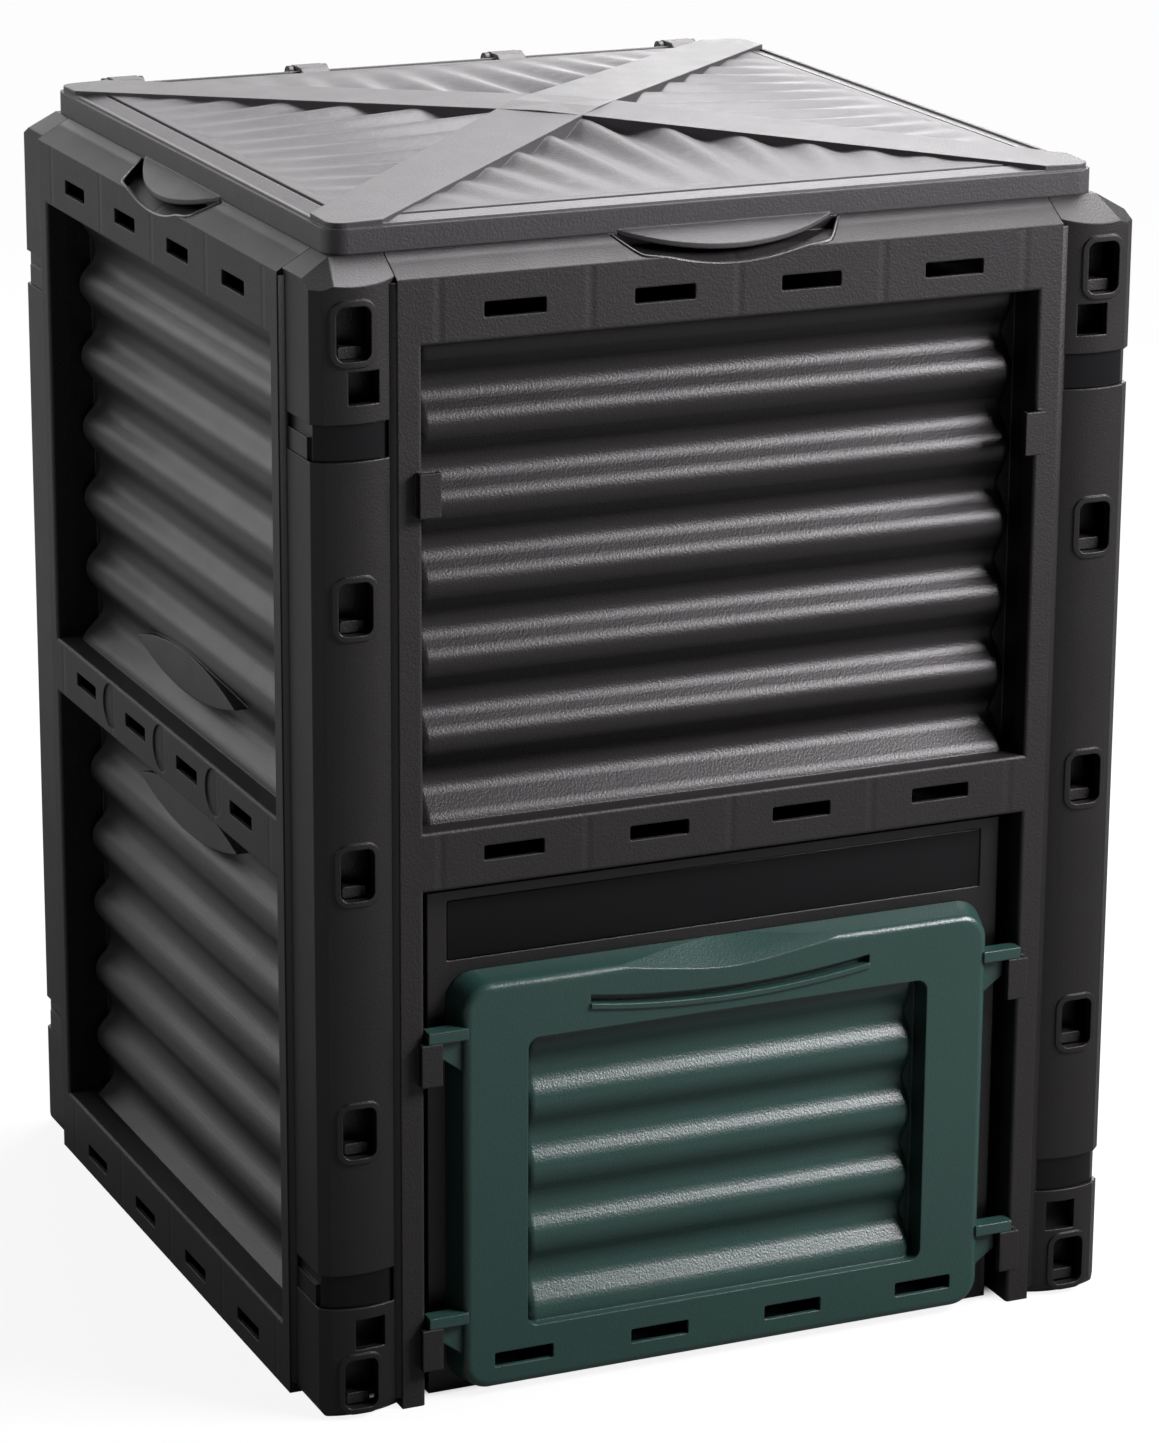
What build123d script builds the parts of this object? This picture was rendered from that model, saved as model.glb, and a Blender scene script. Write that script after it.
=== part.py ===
"""Thermal compost bin: four moulded walls, corner posts, hinged lid and lift-off door. Millimetres, +Z up."""
import os
from math import atan, cos, sin, sqrt

from build123d import *

# Overall body
FACE = 305.0               # wall faces lie this far from the middle, on all four sides
WALL_DEPTH = 36.0          # depth of a wall moulding, face to back
SKIN = 3.5                 # moulded wall thickness
RIB = 3.0                  # thickness of stiffening ribs behind the rails
FIT = 0.4                  # clearance between neighbouring mouldings
CUT = 1.0                  # how far cutters run past a face
OPENING_ROUND = 2.5        # rounding of the wall openings' front edges

# Wavy fields
WAVE_PITCH = 54.0
WAVE_COUNT = 6
WAVE_DEPTH = 22.0          # crest to valley, before the bends are rounded
WAVE_RISE = 23.0           # height of the slope from a valley down to the crest below it
WAVE_START = 4.5           # first crest below the field's upper edge
WAVE_BACK = 16.0           # crest lies this far behind the face, before its rounding
WAVE_BEND = 15.5           # rounding of crests and valleys
WAVE_SHEET = 2.2
WAVE_END_ROUND = 8.0       # rounded ends of the waves
CHANNEL = 4.5              # dark channel between the wave ends and the jamb

# Heights
BOTTOM_RAIL = 48.0
LOWER_FIELD = 324.0
MIDDLE_RAIL = 42.0
UPPER_FIELD = 331.0
TOP_RAIL = 45.0
BEVEL_RISE = 14.0
BEVEL_RUN = 24.0

# Widths
FRONT_HALF = 243.0         # half width of the front and rear mouldings
SIDE_HALF = 250.0          # half width of the side mouldings
FRONT_JAMB = 17.0
SIDE_JAMB = 15.0

# Rail slots and dimples
SLOT_LENGTH = 44.0
SLOT_HEIGHT = 10.5
SLOT_ROUND = 1.5
FRONT_SLOT_PITCH = 107.0
SIDE_SLOT_PITCH = 111.0
TOP_SLOT_DROP = 24.0       # slot centre below the bevel's lower edge
LOW_SLOT_Z = 18.0
MIDDLE_SLOT_DROP = 19.0    # slot centre below the middle rail's upper edge
DIMPLE_R = 17.0
DIMPLE_DEPTH = 1.5

# Bare lens pads on the side walls
PAD_LENGTH = 207.0
PAD_HEIGHT = 30.0
PAD_BACK = 19.0            # pad face behind the wall face
PAD_UPPER_RISE = 36.0      # pad centre above the middle rail
PAD_LOWER_DROP = 27.0      # pad centre below the middle rail

# Finger scoops and lid tongues
SCOOP_HALF = 84.0
SCOOP_FLOOR_HALF = 70.0
SCOOP_REACH = 4.0          # scoop outline past the wall face, at its middle
SCOOP_END = 3.0            # scoop outline behind the wall face, at its ends
SCOOP_DEPTH = 9.0
TONGUE_HALF = 78.0
TONGUE_REACH = 19.0        # tongue past the lid skirt, at its middle
TONGUE_THICK = 3.5
TONGUE_RAISE = 2.0         # tongue's top above the bevel

# Corner posts
POST_SKIN = 6.0
POST_BULGE = 6.5
POST_SET_BACK = 4.0        # the post's faces behind the wall faces at its edges
POST_RETURN = 14.5         # depth of the return flanges
POST_FOOT_ROUND = 10.0
POST_CORNER_CUT = 4.0
POST_CAP = 8.0             # corner cap under the lid, below the bevel
POST_FOOT = 4.0
POST_FACET = 2.1           # steepness of the corner facet
WINDOW_WIDTH = 24.0
WINDOW_HEIGHT = 36.0
WINDOW_ROUND = 6.0
WINDOW_RIM = 4.0
WINDOW_RIM_PROUD = 1.2
WINDOW_INSET = 31.0        # window centre from the wall face plane
WINDOW_COUNT = 5
WINDOW_LOW_Z = 26.0
WINDOW_PITCH = 183.0
SQUARE = 22.0
SQUARE_INSET = 38.0
SQUARE_HIGH_DROP = 68.0    # upper square centre below the bevel's lower edge
SQUARE_LOW_Z = 62.0
LOCK_HEIGHT = 25.0
LOCK_DEPTH = 4.4
LOCK_THICK = 1.6
LOCK_GAP = 0.3
LOCK_END = 5.0             # notches end this far short of the post's edges
LOCK_PAD_RISE = 2.0        # pad on the strap's side leg, under a dark slot
LOCK_PAD_HEIGHT = 15.0
LOCK_PAD_INSET = 10.0      # pad ends this far from the post's outer corner
LOCK_HIGH_DROP = 104.0
LOCK_LOW_Z = 94.0
TONGUE_WALL = 4.0          # edge tongues of the walls inside the posts
TONGUE_WALL_BACK = 19.0
TONGUE_WALL_REACH = 42.0
SIDE_TONGUE_REACH = 14.0
TAB_HEIGHT = 8.0
TAB_WIDTH = 17.0
TAB_BACK = 5.0
TAB_ROUND = 2.0

# Lower field of the front wall, hatch and keepers
FIELD_BACK = 17.0          # recessed lower field behind the face
FIELD_GAP = 9.0            # channel beside the field
FIELD_TOP_GAP = 6.5
HATCH_HALF = 178.0
HATCH_Z0 = 20.0
HATCH_HEIGHT = 262.0
HATCH_ROUND = 12.0
LABEL_HALF = 203.0
LABEL_HEIGHT = 43.0
LABEL_DROP = 7.0
LABEL_DEPTH = 1.2
KEEPER_WIDTH = 15.0
KEEPER_HEIGHT = 30.0
KEEPER_PLATE = 3.0
KEEPER_STAND = 4.0         # slot between keeper plate and jamb face
KEEPER_OVERHANG = 10.5     # keeper past the jamb's inner edge
KEEPER_LIP = 2.0
KEEPER_LOW_Z = 28.0
KEEPER_STEP = 208.0
KEEPER_PARK = 396.0

# Door
DOOR_HALF_FRONT = 198.0
DOOR_HALF_BACK = 204.0
DOOR_Z0 = 6.0
DOOR_HEIGHT = 301.0
DOOR_TOP_SLOPE = 5.0
DOOR_PROUD = 5.0           # door face in front of the wall face
DOOR_SEAT_GAP = 0.4
DOOR_SKIN = 3.5
DOOR_CORNER = 20.0
DOOR_EDGE = 6.0
DOOR_WINDOW_HALF = 152.0
DOOR_WINDOW_Z0 = 48.0
DOOR_WINDOW_HEIGHT = 212.0
DOOR_WINDOW_ROUND = 8.0
DOOR_WAVE_PITCH = 50.0
DOOR_WAVE_COUNT = 4
DOOR_WAVE_DEPTH = 15.0
DOOR_WAVE_RISE = 24.0
DOOR_WAVE_START = 3.0
DOOR_WAVE_BACK = 7.0
DOOR_WAVE_BEND = 19.0
DOOR_WAVE_SHEET = 2.2
DOOR_WAVE_CHANNEL = 4.0
DOOR_WAVE_ROUND = 6.0
DOOR_SLOT_PITCH = 103.0
DOOR_SLOT_Z = 27.0
HANDLE_HALF = 114.0
HANDLE_DIP = 11.0
GROOVE_HALF = 106.0
GROOVE_DROP = 22.0         # groove ends below the door's top
GROOVE_SAG = 8.0
GROOVE_HEIGHT = 6.0
GROOVE_DEPTH = 7.0
GROOVE_LIP = 4.0           # bead under the groove
GROOVE_LIP_PROUD = 1.5
HOOK_ARM = 8.0
HOOK_FRONT = 6.0           # arm's front before the wall face
HOOK_DEPTH = 12.0
HOOK_LEG = 9.0
HOOK_LEG_THICK = 3.0
HOOK_LEG_BACK = 1.5        # leg's front behind the wall face
HOOK_CLEAR = 1.0
GUSSET_HEIGHT = 26.0
GUSSET_THICK = 4.0

# Lid
LID_HALF = 281.0
LID_CORNER = 14.0
LID_SKIRT = 16.5
LID_SKIN = 3.0
LID_RIDGE_WIDTH = 3.0
LID_RIDGE_RISE = 1.6
LID_RIDGE_INSET = 2.5
LID_STRIP_RISE = 3.5
LID_GROOVE_WIDTH = 3.0     # groove between the strip and the panels
LID_GROOVE_DEPTH = 2.5
LID_PANEL_HALF = 258.0
LID_APEX_RISE = 13.0       # crest plane at the middle above the panel's outer edge
LID_RIB_MIDDLE = 66.0      # width of the X ribs where they cross
LID_RIB_CORNER = 50.0
LID_RIB_PROUD = 1.2
LID_RIB_WALL = 3.0
LID_SHEET = 2.6
LID_WAVE_DEPTH = 9.0
LID_WAVE_HALF_COUNT = 7    # waves each side of a panel's middle
LID_WAVE_PITCH = 34.0      # at the panel's outer edge
LID_FAN = 790.0            # wave lines run together this far from the middle

# Lid hinge
HINGE_OUTER = 226.0        # outer pair of hinges from the middle
HINGE_INNER = 80.0
HINGE_AXIS_OUT = 8.0       # hinge axis behind the lid skirt
HINGE_AXIS_RISE = 14.0     # hinge axis above the lid seat
KNUCKLE_R = 7.0
KNUCKLE_WIDTH = 22.0
KNUCKLE_WEB = 5.0          # web below the hinge axis
KNUCKLE_PAD = 8.0          # bump over the lid's rim
EAR_R = 6.5
EAR_THICK = 4.0
PIN_R = 3.0
PIN_CLEAR = 0.05
KNUCKLE_SIDE = 0.5

# Values that follow
LOWER_Z0 = BOTTOM_RAIL
LOWER_Z1 = LOWER_Z0 + LOWER_FIELD
UPPER_Z0 = LOWER_Z1 + MIDDLE_RAIL
UPPER_Z1 = UPPER_Z0 + UPPER_FIELD
BEVEL_Z = UPPER_Z1 + TOP_RAIL
SEAT_Z = BEVEL_Z + BEVEL_RISE
BEVEL_SLOPE = atan(BEVEL_RISE / BEVEL_RUN)
BACK_Y = -FACE + WALL_DEPTH
LID_TOP = SEAT_Z + LID_SKIRT
PANEL_Z = LID_TOP + LID_STRIP_RISE
FIELD_HALF = FRONT_HALF - FRONT_JAMB - FIELD_GAP
FIELD_Z1 = LOWER_Z1 - FIELD_TOP_GAP
KEEPER_X = FRONT_HALF - FRONT_JAMB - KEEPER_OVERHANG
DOOR_Y = -FACE - DOOR_PROUD
DOOR_BACK_Y = -FACE + FIELD_BACK - DOOR_SEAT_GAP
DOOR_TOP = DOOR_Z0 + DOOR_HEIGHT
AXIS_Y = LID_HALF + HINGE_AXIS_OUT
AXIS_Z = SEAT_Z + HINGE_AXIS_RISE
HINGE_X = (-HINGE_OUTER, -HINGE_INNER, HINGE_INNER, HINGE_OUTER)
EAR_X = KNUCKLE_WIDTH / 2 + KNUCKLE_SIDE + EAR_THICK / 2


def wave_block(y_crest, y_back, first, pitch, count, depth, rise, bend, half):
    """Solid between a skewed wave and a back plane, as long as 2 * half along X and longer than its field."""
    top = first + pitch
    bottom = first - (count + 1) * pitch
    zigzag = [(y_crest + depth, top)]
    for k in range(count + 1):
        crest = first - k * pitch
        zigzag += [(y_crest + depth, crest + rise), (y_crest, crest)]
    zigzag.append((y_crest, bottom))
    with BuildPart() as block:
        with BuildSketch(Plane.YZ) as section:
            with BuildLine():
                Polyline(*zigzag, (y_back, bottom), (y_back, top), zigzag[0])
            make_face()
            fillet([v for v in section.vertices() if bottom + CUT < v.Y < top - CUT], bend)
        extrude(amount=half, both=True)
    return block.part


def wave_field(y_crest, y_back, first, pitch, count, depth, rise, bend, sheet, half, low, high, end_round):
    """Wavy shell between two heights with rounded ends and end walls, open at its back."""
    deep = y_back + 2 * end_round
    outer = wave_block(y_crest, deep, first, pitch, count, depth, rise, bend, half)
    inner = wave_block(y_crest + sheet, deep + CUT, first, pitch, count, depth, rise, bend, half - end_round)
    with BuildPart() as field:
        add(outer)
        ends = field.edges().filter_by(lambda e: abs(abs(e.center().X) - half) < FIT and e.center().Y < y_back)
        fillet(ends.filter_by(Axis.Y, reverse=True), end_round)
        add(inner, mode=Mode.SUBTRACT)
        split(bisect_by=Plane.XZ.offset(-y_back), keep=Keep.TOP)
        split(bisect_by=Plane.XY.offset(high), keep=Keep.BOTTOM)
        split(bisect_by=Plane.XY.offset(low), keep=Keep.TOP)
    return field.part


def slot_centres(pitch, z):
    """Four slot centres, even about the middle."""
    return [((k - 1.5) * pitch, z) for k in range(4)]


def scoop_cutter():
    """Finger scoop: a lens outline over the bevel, down to a floor that runs with the bevel."""
    lip = -FACE + BEVEL_RUN
    floor = Plane(origin=(0, -FACE, BEVEL_Z - SCOOP_DEPTH), z_dir=(0, -sin(BEVEL_SLOPE), cos(BEVEL_SLOPE)))
    with BuildPart() as cutter:
        with BuildSketch(Plane.XY.offset(BEVEL_Z - TOP_RAIL)):
            with BuildLine():
                ThreePointArc((-SCOOP_FLOOR_HALF, -FACE + SCOOP_END), (0, -FACE - SCOOP_REACH),
                              (SCOOP_FLOOR_HALF, -FACE + SCOOP_END))
                Polyline((SCOOP_FLOOR_HALF, -FACE + SCOOP_END), (SCOOP_HALF, lip), (-SCOOP_HALF, lip),
                         (-SCOOP_FLOOR_HALF, -FACE + SCOOP_END))
            make_face()
        extrude(amount=TOP_RAIL + 2 * BEVEL_RISE)
        split(bisect_by=floor, keep=Keep.TOP)
    return cutter.part


def rail_pocket(low, high, x0, x1, top_line):
    """Pocket behind a rail, from x0 to x1. A top line makes it follow the bevel."""
    with BuildPart() as pocket:
        with BuildSketch(Plane.YZ.offset(x0)):
            with BuildLine():
                if top_line:
                    ridge = high + BEVEL_RISE - SKIN / 2
                    Polyline((-FACE + SKIN, low), (BACK_Y + CUT, low), (BACK_Y + CUT, ridge),
                             (-FACE + BEVEL_RUN + SKIN / 2, ridge), (-FACE + SKIN, high), (-FACE + SKIN, low))
                else:
                    Polyline((-FACE + SKIN, low), (BACK_Y + CUT, low), (BACK_Y + CUT, high),
                             (-FACE + SKIN, high), (-FACE + SKIN, low))
            make_face()
        extrude(amount=x1 - x0)
    return pocket.part


def rail_cells(half, pitch):
    """X spans of the pockets behind a rail, a rib between each two slots."""
    marks = [-half + SKIN] + [k * pitch for k in (-1, 0, 1)] + [half - SKIN]
    spans = []
    for k, (a, b) in enumerate(zip(marks, marks[1:])):
        spans.append((a + (RIB / 2 if k else 0), b - (RIB / 2 if k < 3 else 0)))
    return spans


def wall_shell(half, jamb, slot_pitch, scooped, low_field, edge_tongue, tabs):
    """A wall moulding at the front: ladder frame, wavy fields, ribbed back, edge tongues."""
    open_half = half - jamb
    wave_half = open_half - CHANNEL
    floor_x0 = wave_half - WAVE_END_ROUND
    floor_x1 = open_half + WAVE_SHEET
    fields = [(UPPER_Z0, UPPER_Z1)] + ([(LOWER_Z0, LOWER_Z1)] if low_field else [])
    openings = [(UPPER_Z0, UPPER_Z1), (LOWER_Z0 if low_field else 0, LOWER_Z1)]
    spans = rail_cells(half, slot_pitch)
    waves = [wave_field(-FACE + WAVE_BACK, BACK_Y, top - WAVE_START, WAVE_PITCH, WAVE_COUNT, WAVE_DEPTH,
                        WAVE_RISE, WAVE_BEND, WAVE_SHEET, wave_half, low, top, WAVE_END_ROUND)
             for low, top in fields]
    pockets = []
    for x0, x1 in spans:
        under_scoop = scooped and min(abs(x0), abs(x1)) < SCOOP_HALF
        drop = SKIN + (SCOOP_DEPTH if under_scoop else 0)
        pockets.append(rail_pocket(UPPER_Z1 + SKIN, BEVEL_Z - drop, x0, x1, True))
        pockets.append(rail_pocket(LOWER_Z1 + SKIN, UPPER_Z0 - SKIN, x0, x1, False))
        if low_field:
            pockets.append(rail_pocket(SKIN, LOWER_Z0 - SKIN, x0, x1, False))
    with BuildPart() as wall:
        with BuildSketch(Plane.YZ):
            with BuildLine():
                Polyline((-FACE, 0), (BACK_Y, 0), (BACK_Y, SEAT_Z), (-FACE + BEVEL_RUN, SEAT_Z),
                         (-FACE, BEVEL_Z), (-FACE, 0))
            make_face()
        extrude(amount=half, both=True)
        with BuildSketch(Plane.XZ.offset(FACE + CUT)):
            for low, top in openings:
                with Locations((0, (low + top) / 2)):
                    Rectangle(2 * open_half, top - low)
        extrude(amount=-WALL_DEPTH - 2 * CUT, mode=Mode.SUBTRACT)
        face_edges = wall.edges().filter_by_position(Axis.Y, -FACE - FIT, -FACE + FIT)
        upright = face_edges.filter_by_position(Axis.Z, CUT, BEVEL_Z - CUT)
        fillet(upright.filter_by_position(Axis.X, -open_half - CUT, open_half + CUT), OPENING_ROUND)
        for pocket in pockets:
            add(pocket, mode=Mode.SUBTRACT)
        with BuildSketch(Plane.XZ.offset(FACE + CUT)):
            rows = [BEVEL_Z - TOP_SLOT_DROP, UPPER_Z0 - MIDDLE_SLOT_DROP] + ([LOW_SLOT_Z] if low_field else [])
            for z in rows:
                with Locations(*slot_centres(slot_pitch, z)):
                    RectangleRounded(SLOT_LENGTH, SLOT_HEIGHT, SLOT_ROUND)
        extrude(amount=-SKIN - 2 * CUT, mode=Mode.SUBTRACT)
        for part in waves:
            add(part)
        with BuildSketch(Plane.XZ.offset(-BACK_Y)):
            for low, top in fields:
                for side in (-1, 1):
                    with Locations((side * (floor_x0 + floor_x1) / 2, (low + top) / 2)):
                        Rectangle(floor_x1 - floor_x0, top - low)
        extrude(amount=WAVE_SHEET)
        if scooped:
            add(scoop_cutter(), mode=Mode.SUBTRACT)
        with BuildSketch(Plane.XZ.offset(FACE - TONGUE_WALL_BACK)):
            for side in (-1, 1):
                with Locations((side * (half + edge_tongue / 2 - SKIN / 2), BEVEL_Z / 2)):
                    Rectangle(edge_tongue + SKIN, BEVEL_Z - 2 * POST_FOOT_ROUND)
        extrude(amount=-TONGUE_WALL)
        if tabs:
            with BuildSketch(Plane.XZ.offset(FACE - TAB_BACK)):
                for k in range(WINDOW_COUNT):
                    z = WINDOW_LOW_Z + k * WINDOW_PITCH - WINDOW_HEIGHT / 2 + TAB_HEIGHT / 2 + FIT
                    for side in (-1, 1):
                        with Locations((side * (FACE - WINDOW_INSET), z)):
                            RectangleRounded(TAB_WIDTH, TAB_HEIGHT, TAB_ROUND)
            extrude(amount=-TONGUE_WALL_BACK + TAB_BACK - TONGUE_WALL / 2)
    return wall.part


def lens(length, height):
    """Lens-shaped outline of two arcs about the origin."""
    with BuildSketch() as outline:
        with BuildLine():
            ThreePointArc((-length / 2, 0), (0, height / 2), (length / 2, 0))
            ThreePointArc((length / 2, 0), (0, -height / 2), (-length / 2, 0))
        make_face()
    return outline.sketch


def side_wall():
    """Side moulding with dimples and bare lens pads, drawn at the front."""
    shell = wall_shell(SIDE_HALF, SIDE_JAMB, SIDE_SLOT_PITCH, True, True, SIDE_TONGUE_REACH, False)
    pad = lens(PAD_LENGTH, PAD_HEIGHT)
    with BuildPart() as wall:
        add(shell)
        with BuildSketch(Plane.XZ.offset(FACE - PAD_BACK)):
            with Locations((0, UPPER_Z0 + PAD_UPPER_RISE), (0, LOWER_Z1 - PAD_LOWER_DROP)):
                add(pad)
        extrude(amount=-WALL_DEPTH + PAD_BACK + WAVE_SHEET)
        with BuildSketch(Plane.XZ.offset(FACE + CUT)):
            with Locations(*[(k * SIDE_SLOT_PITCH, UPPER_Z0 - MIDDLE_SLOT_DROP) for k in (-1, 0, 1)]):
                Circle(DIMPLE_R)
        extrude(amount=-DIMPLE_DEPTH - CUT, mode=Mode.SUBTRACT)
    return wall.part


side = side_wall()

with BuildPart() as left_wall:
    add(side, rotation=(0, 0, -90))
left_wall.part.label = "left_wall"

with BuildPart() as right_wall:
    add(side, rotation=(0, 0, 90))
right_wall.part.label = "right_wall"

# Rear wall with the ears of the lid hinge
rear_shell = wall_shell(FRONT_HALF, FRONT_JAMB, FRONT_SLOT_PITCH, False, True, TONGUE_WALL_REACH, True)

with BuildPart() as rear_wall:
    add(rear_shell, rotation=(0, 0, 180))
    for x in HINGE_X:
        for side_sign in (-1, 1):
            with BuildSketch(Plane.YZ.offset(x + side_sign * EAR_X - EAR_THICK / 2)):
                with Locations((AXIS_Y, AXIS_Z)):
                    Circle(EAR_R)
                with Locations((AXIS_Y, (AXIS_Z + BEVEL_Z) / 2)):
                    Rectangle(2 * EAR_R, AXIS_Z - BEVEL_Z)
            extrude(amount=EAR_THICK)
            with Locations(Location((x + side_sign * EAR_X, AXIS_Y, AXIS_Z), (0, 90, 0))):
                Hole(PIN_R + PIN_CLEAR, depth=EAR_THICK)
rear_wall.part.label = "rear_wall"

# Front wall with the recessed lower field, the hatch and the keepers
front_shell = wall_shell(FRONT_HALF, FRONT_JAMB, FRONT_SLOT_PITCH, True, False, TONGUE_WALL_REACH, True)
FIELD_Y = -FACE + FIELD_BACK
OPEN_HALF = FRONT_HALF - FRONT_JAMB
KEEPER_Z = [KEEPER_LOW_Z, KEEPER_LOW_Z + KEEPER_STEP, KEEPER_LOW_Z + KEEPER_STEP + KEEPER_PARK]
HATCH_MIDDLE = HATCH_Z0 + HATCH_HEIGHT / 2

with BuildPart() as front_wall:
    add(front_shell)
    with BuildSketch(Plane.XZ.offset(-FIELD_Y)):
        with Locations((0, FIELD_Z1 / 2)):
            Rectangle(2 * FIELD_HALF, FIELD_Z1)
        with Locations((0, HATCH_MIDDLE)):
            RectangleRounded(2 * HATCH_HALF, HATCH_HEIGHT, HATCH_ROUND, mode=Mode.SUBTRACT)
    extrude(amount=-WALL_DEPTH + FIELD_BACK)
    with BuildSketch(Plane.XZ.offset(-FIELD_Y - SKIN)):
        with Locations((0, FIELD_Z1 / 2)):
            Rectangle(2 * (FIELD_HALF - SKIN), FIELD_Z1 - 2 * SKIN)
        with Locations((0, HATCH_MIDDLE)):
            RectangleRounded(2 * (HATCH_HALF + SKIN), HATCH_HEIGHT + 2 * SKIN, HATCH_ROUND + SKIN,
                             mode=Mode.SUBTRACT)
    extrude(amount=-WALL_DEPTH + FIELD_BACK + SKIN - CUT, mode=Mode.SUBTRACT)
    with BuildSketch(Plane.XZ.offset(-BACK_Y)):
        with Locations((0, LOWER_Z1 / 2)):
            Rectangle(2 * OPEN_HALF, LOWER_Z1)
        with Locations((0, (FIELD_Z1 - SKIN) / 2)):
            Rectangle(2 * (FIELD_HALF - SKIN), FIELD_Z1 - SKIN, mode=Mode.SUBTRACT)
    extrude(amount=WAVE_SHEET)
    with BuildSketch(Plane.XZ.offset(-FIELD_Y + CUT)):
        with Locations((0, FIELD_Z1 - LABEL_DROP - LABEL_HEIGHT / 2)):
            RectangleRounded(2 * LABEL_HALF, LABEL_HEIGHT, SLOT_ROUND)
    extrude(amount=-LABEL_DEPTH - CUT, mode=Mode.SUBTRACT)
    for z in KEEPER_Z:
        for sign in (-1, 1):
            with BuildSketch(Plane.XY.offset(z)):
                with BuildLine():
                    inner = sign * KEEPER_X
                    outer = sign * (KEEPER_X + KEEPER_WIDTH)
                    plate_y = -FACE - KEEPER_STAND
                    foot_y = -FACE + CUT
                    Polyline((inner, plate_y - KEEPER_PLATE), (outer, plate_y - KEEPER_PLATE), (outer, foot_y),
                             (outer - sign * KEEPER_PLATE, foot_y), (outer - sign * KEEPER_PLATE, plate_y),
                             (inner + sign * KEEPER_LIP, plate_y), (inner + sign * KEEPER_LIP, plate_y + KEEPER_LIP),
                             (inner, plate_y + KEEPER_LIP), (inner, plate_y - KEEPER_PLATE))
                make_face()
            extrude(amount=KEEPER_HEIGHT)
front_wall.part.label = "front_wall"

# Corner posts: L section with a bulged front leg
POST_FACE = FACE - POST_SET_BACK
POST_X = FRONT_HALF + FIT
POST_Y = SIDE_HALF + FIT
POST_MIDDLE_X = (POST_X + POST_FACE) / 2
INNER = FACE - WALL_DEPTH
LOCK_Z = {"lower": LOCK_LOW_Z, "upper": BEVEL_Z - LOCK_HIGH_DROP}
BEVEL_FRONT = Plane(origin=(0, -FACE, BEVEL_Z), z_dir=(0, -sin(BEVEL_SLOPE), cos(BEVEL_SLOPE)))
BEVEL_LEFT = Plane(origin=(-FACE, 0, BEVEL_Z), z_dir=(-sin(BEVEL_SLOPE), 0, cos(BEVEL_SLOPE)))
BEVEL_CORNER = Plane(origin=(-FACE + BEVEL_RUN, -FACE + BEVEL_RUN, SEAT_Z), z_dir=(-1, -1, POST_FACET))


def corner_cut(inset):
    """Upright plane that takes off the post's outer corner, set in from it."""
    middle = POST_FACE - POST_CORNER_CUT / 2 - inset / sqrt(2)
    return Plane(origin=(-middle, -middle, 0), z_dir=(-1, -1, 0))


def post_section(inset, inner):
    """L outline of a post at front left with a sharp corner, set in from its outer faces."""
    face = POST_FACE - inset
    with BuildSketch() as section:
        with BuildLine():
            ThreePointArc((-POST_X, -face), (-POST_MIDDLE_X, -face - POST_BULGE), (-face, -face))
            Polyline((-face, -face), (-face, -POST_Y), (-inner, -POST_Y), (-inner, -inner),
                     (-POST_X, -inner), (-POST_X, -face))
        make_face()
    return section.sketch


def post_solid(inset, inner, low, high):
    """Upright piece of the post's L between two heights."""
    section = post_section(inset, inner)
    with BuildPart() as solid:
        with BuildSketch(Plane.XY.offset(low)):
            add(section)
        extrude(amount=high - low)
        split(bisect_by=corner_cut(inset), keep=Keep.BOTTOM)
    return solid.part


def post_pocket():
    """Hollow of a post, open towards the inside of the bin."""
    face = POST_FACE - POST_SKIN
    inner = INNER - CUT
    edge_x = POST_X + POST_SKIN
    edge_y = POST_Y + POST_SKIN
    with BuildPart() as pocket:
        with BuildSketch(Plane.XY.offset(POST_FOOT)):
            with BuildLine():
                ThreePointArc((-edge_x, -face), (-POST_MIDDLE_X, -face - POST_BULGE), (-face, -face))
                Polyline((-face, -face), (-face, -edge_y), (-inner, -edge_y), (-inner, -inner),
                         (-edge_x, -inner), (-edge_x, -face))
            make_face()
        extrude(amount=BEVEL_Z - POST_CAP - POST_FOOT)
        split(bisect_by=corner_cut(POST_SKIN), keep=Keep.BOTTOM)
    return pocket.part


def window_places():
    """Centres of the post windows at front left, in the front plane."""
    return [(-FACE + WINDOW_INSET, WINDOW_LOW_Z + k * WINDOW_PITCH) for k in range(WINDOW_COUNT)]


def rim_blocks():
    """Rounded blocks in front of the windows, to be cut to the bulge."""
    with BuildPart() as blocks:
        with BuildSketch(Plane.XZ.offset(POST_FACE - POST_SKIN / 2)):
            with Locations(*window_places()):
                RectangleRounded(WINDOW_WIDTH + 2 * WINDOW_RIM, WINDOW_HEIGHT + 2 * WINDOW_RIM,
                                 WINDOW_ROUND + WINDOW_RIM)
        extrude(amount=POST_BULGE + POST_SKIN)
    return blocks.part


def lock_band(low_inset, high_inset, low, high, short):
    """Band of the post's outer skin between two insets and two heights, short of the post's edges."""
    with BuildPart() as band:
        add(post_solid(low_inset, INNER, low, high))
        add(post_solid(high_inset, INNER, low, high), mode=Mode.SUBTRACT)
        split(bisect_by=Plane(origin=(-POST_X - short, 0, 0), z_dir=(1, 0, 0)), keep=Keep.BOTTOM)
        split(bisect_by=Plane(origin=(0, -POST_Y - short, 0), z_dir=(0, 1, 0)), keep=Keep.BOTTOM)
    return band.part


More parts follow.
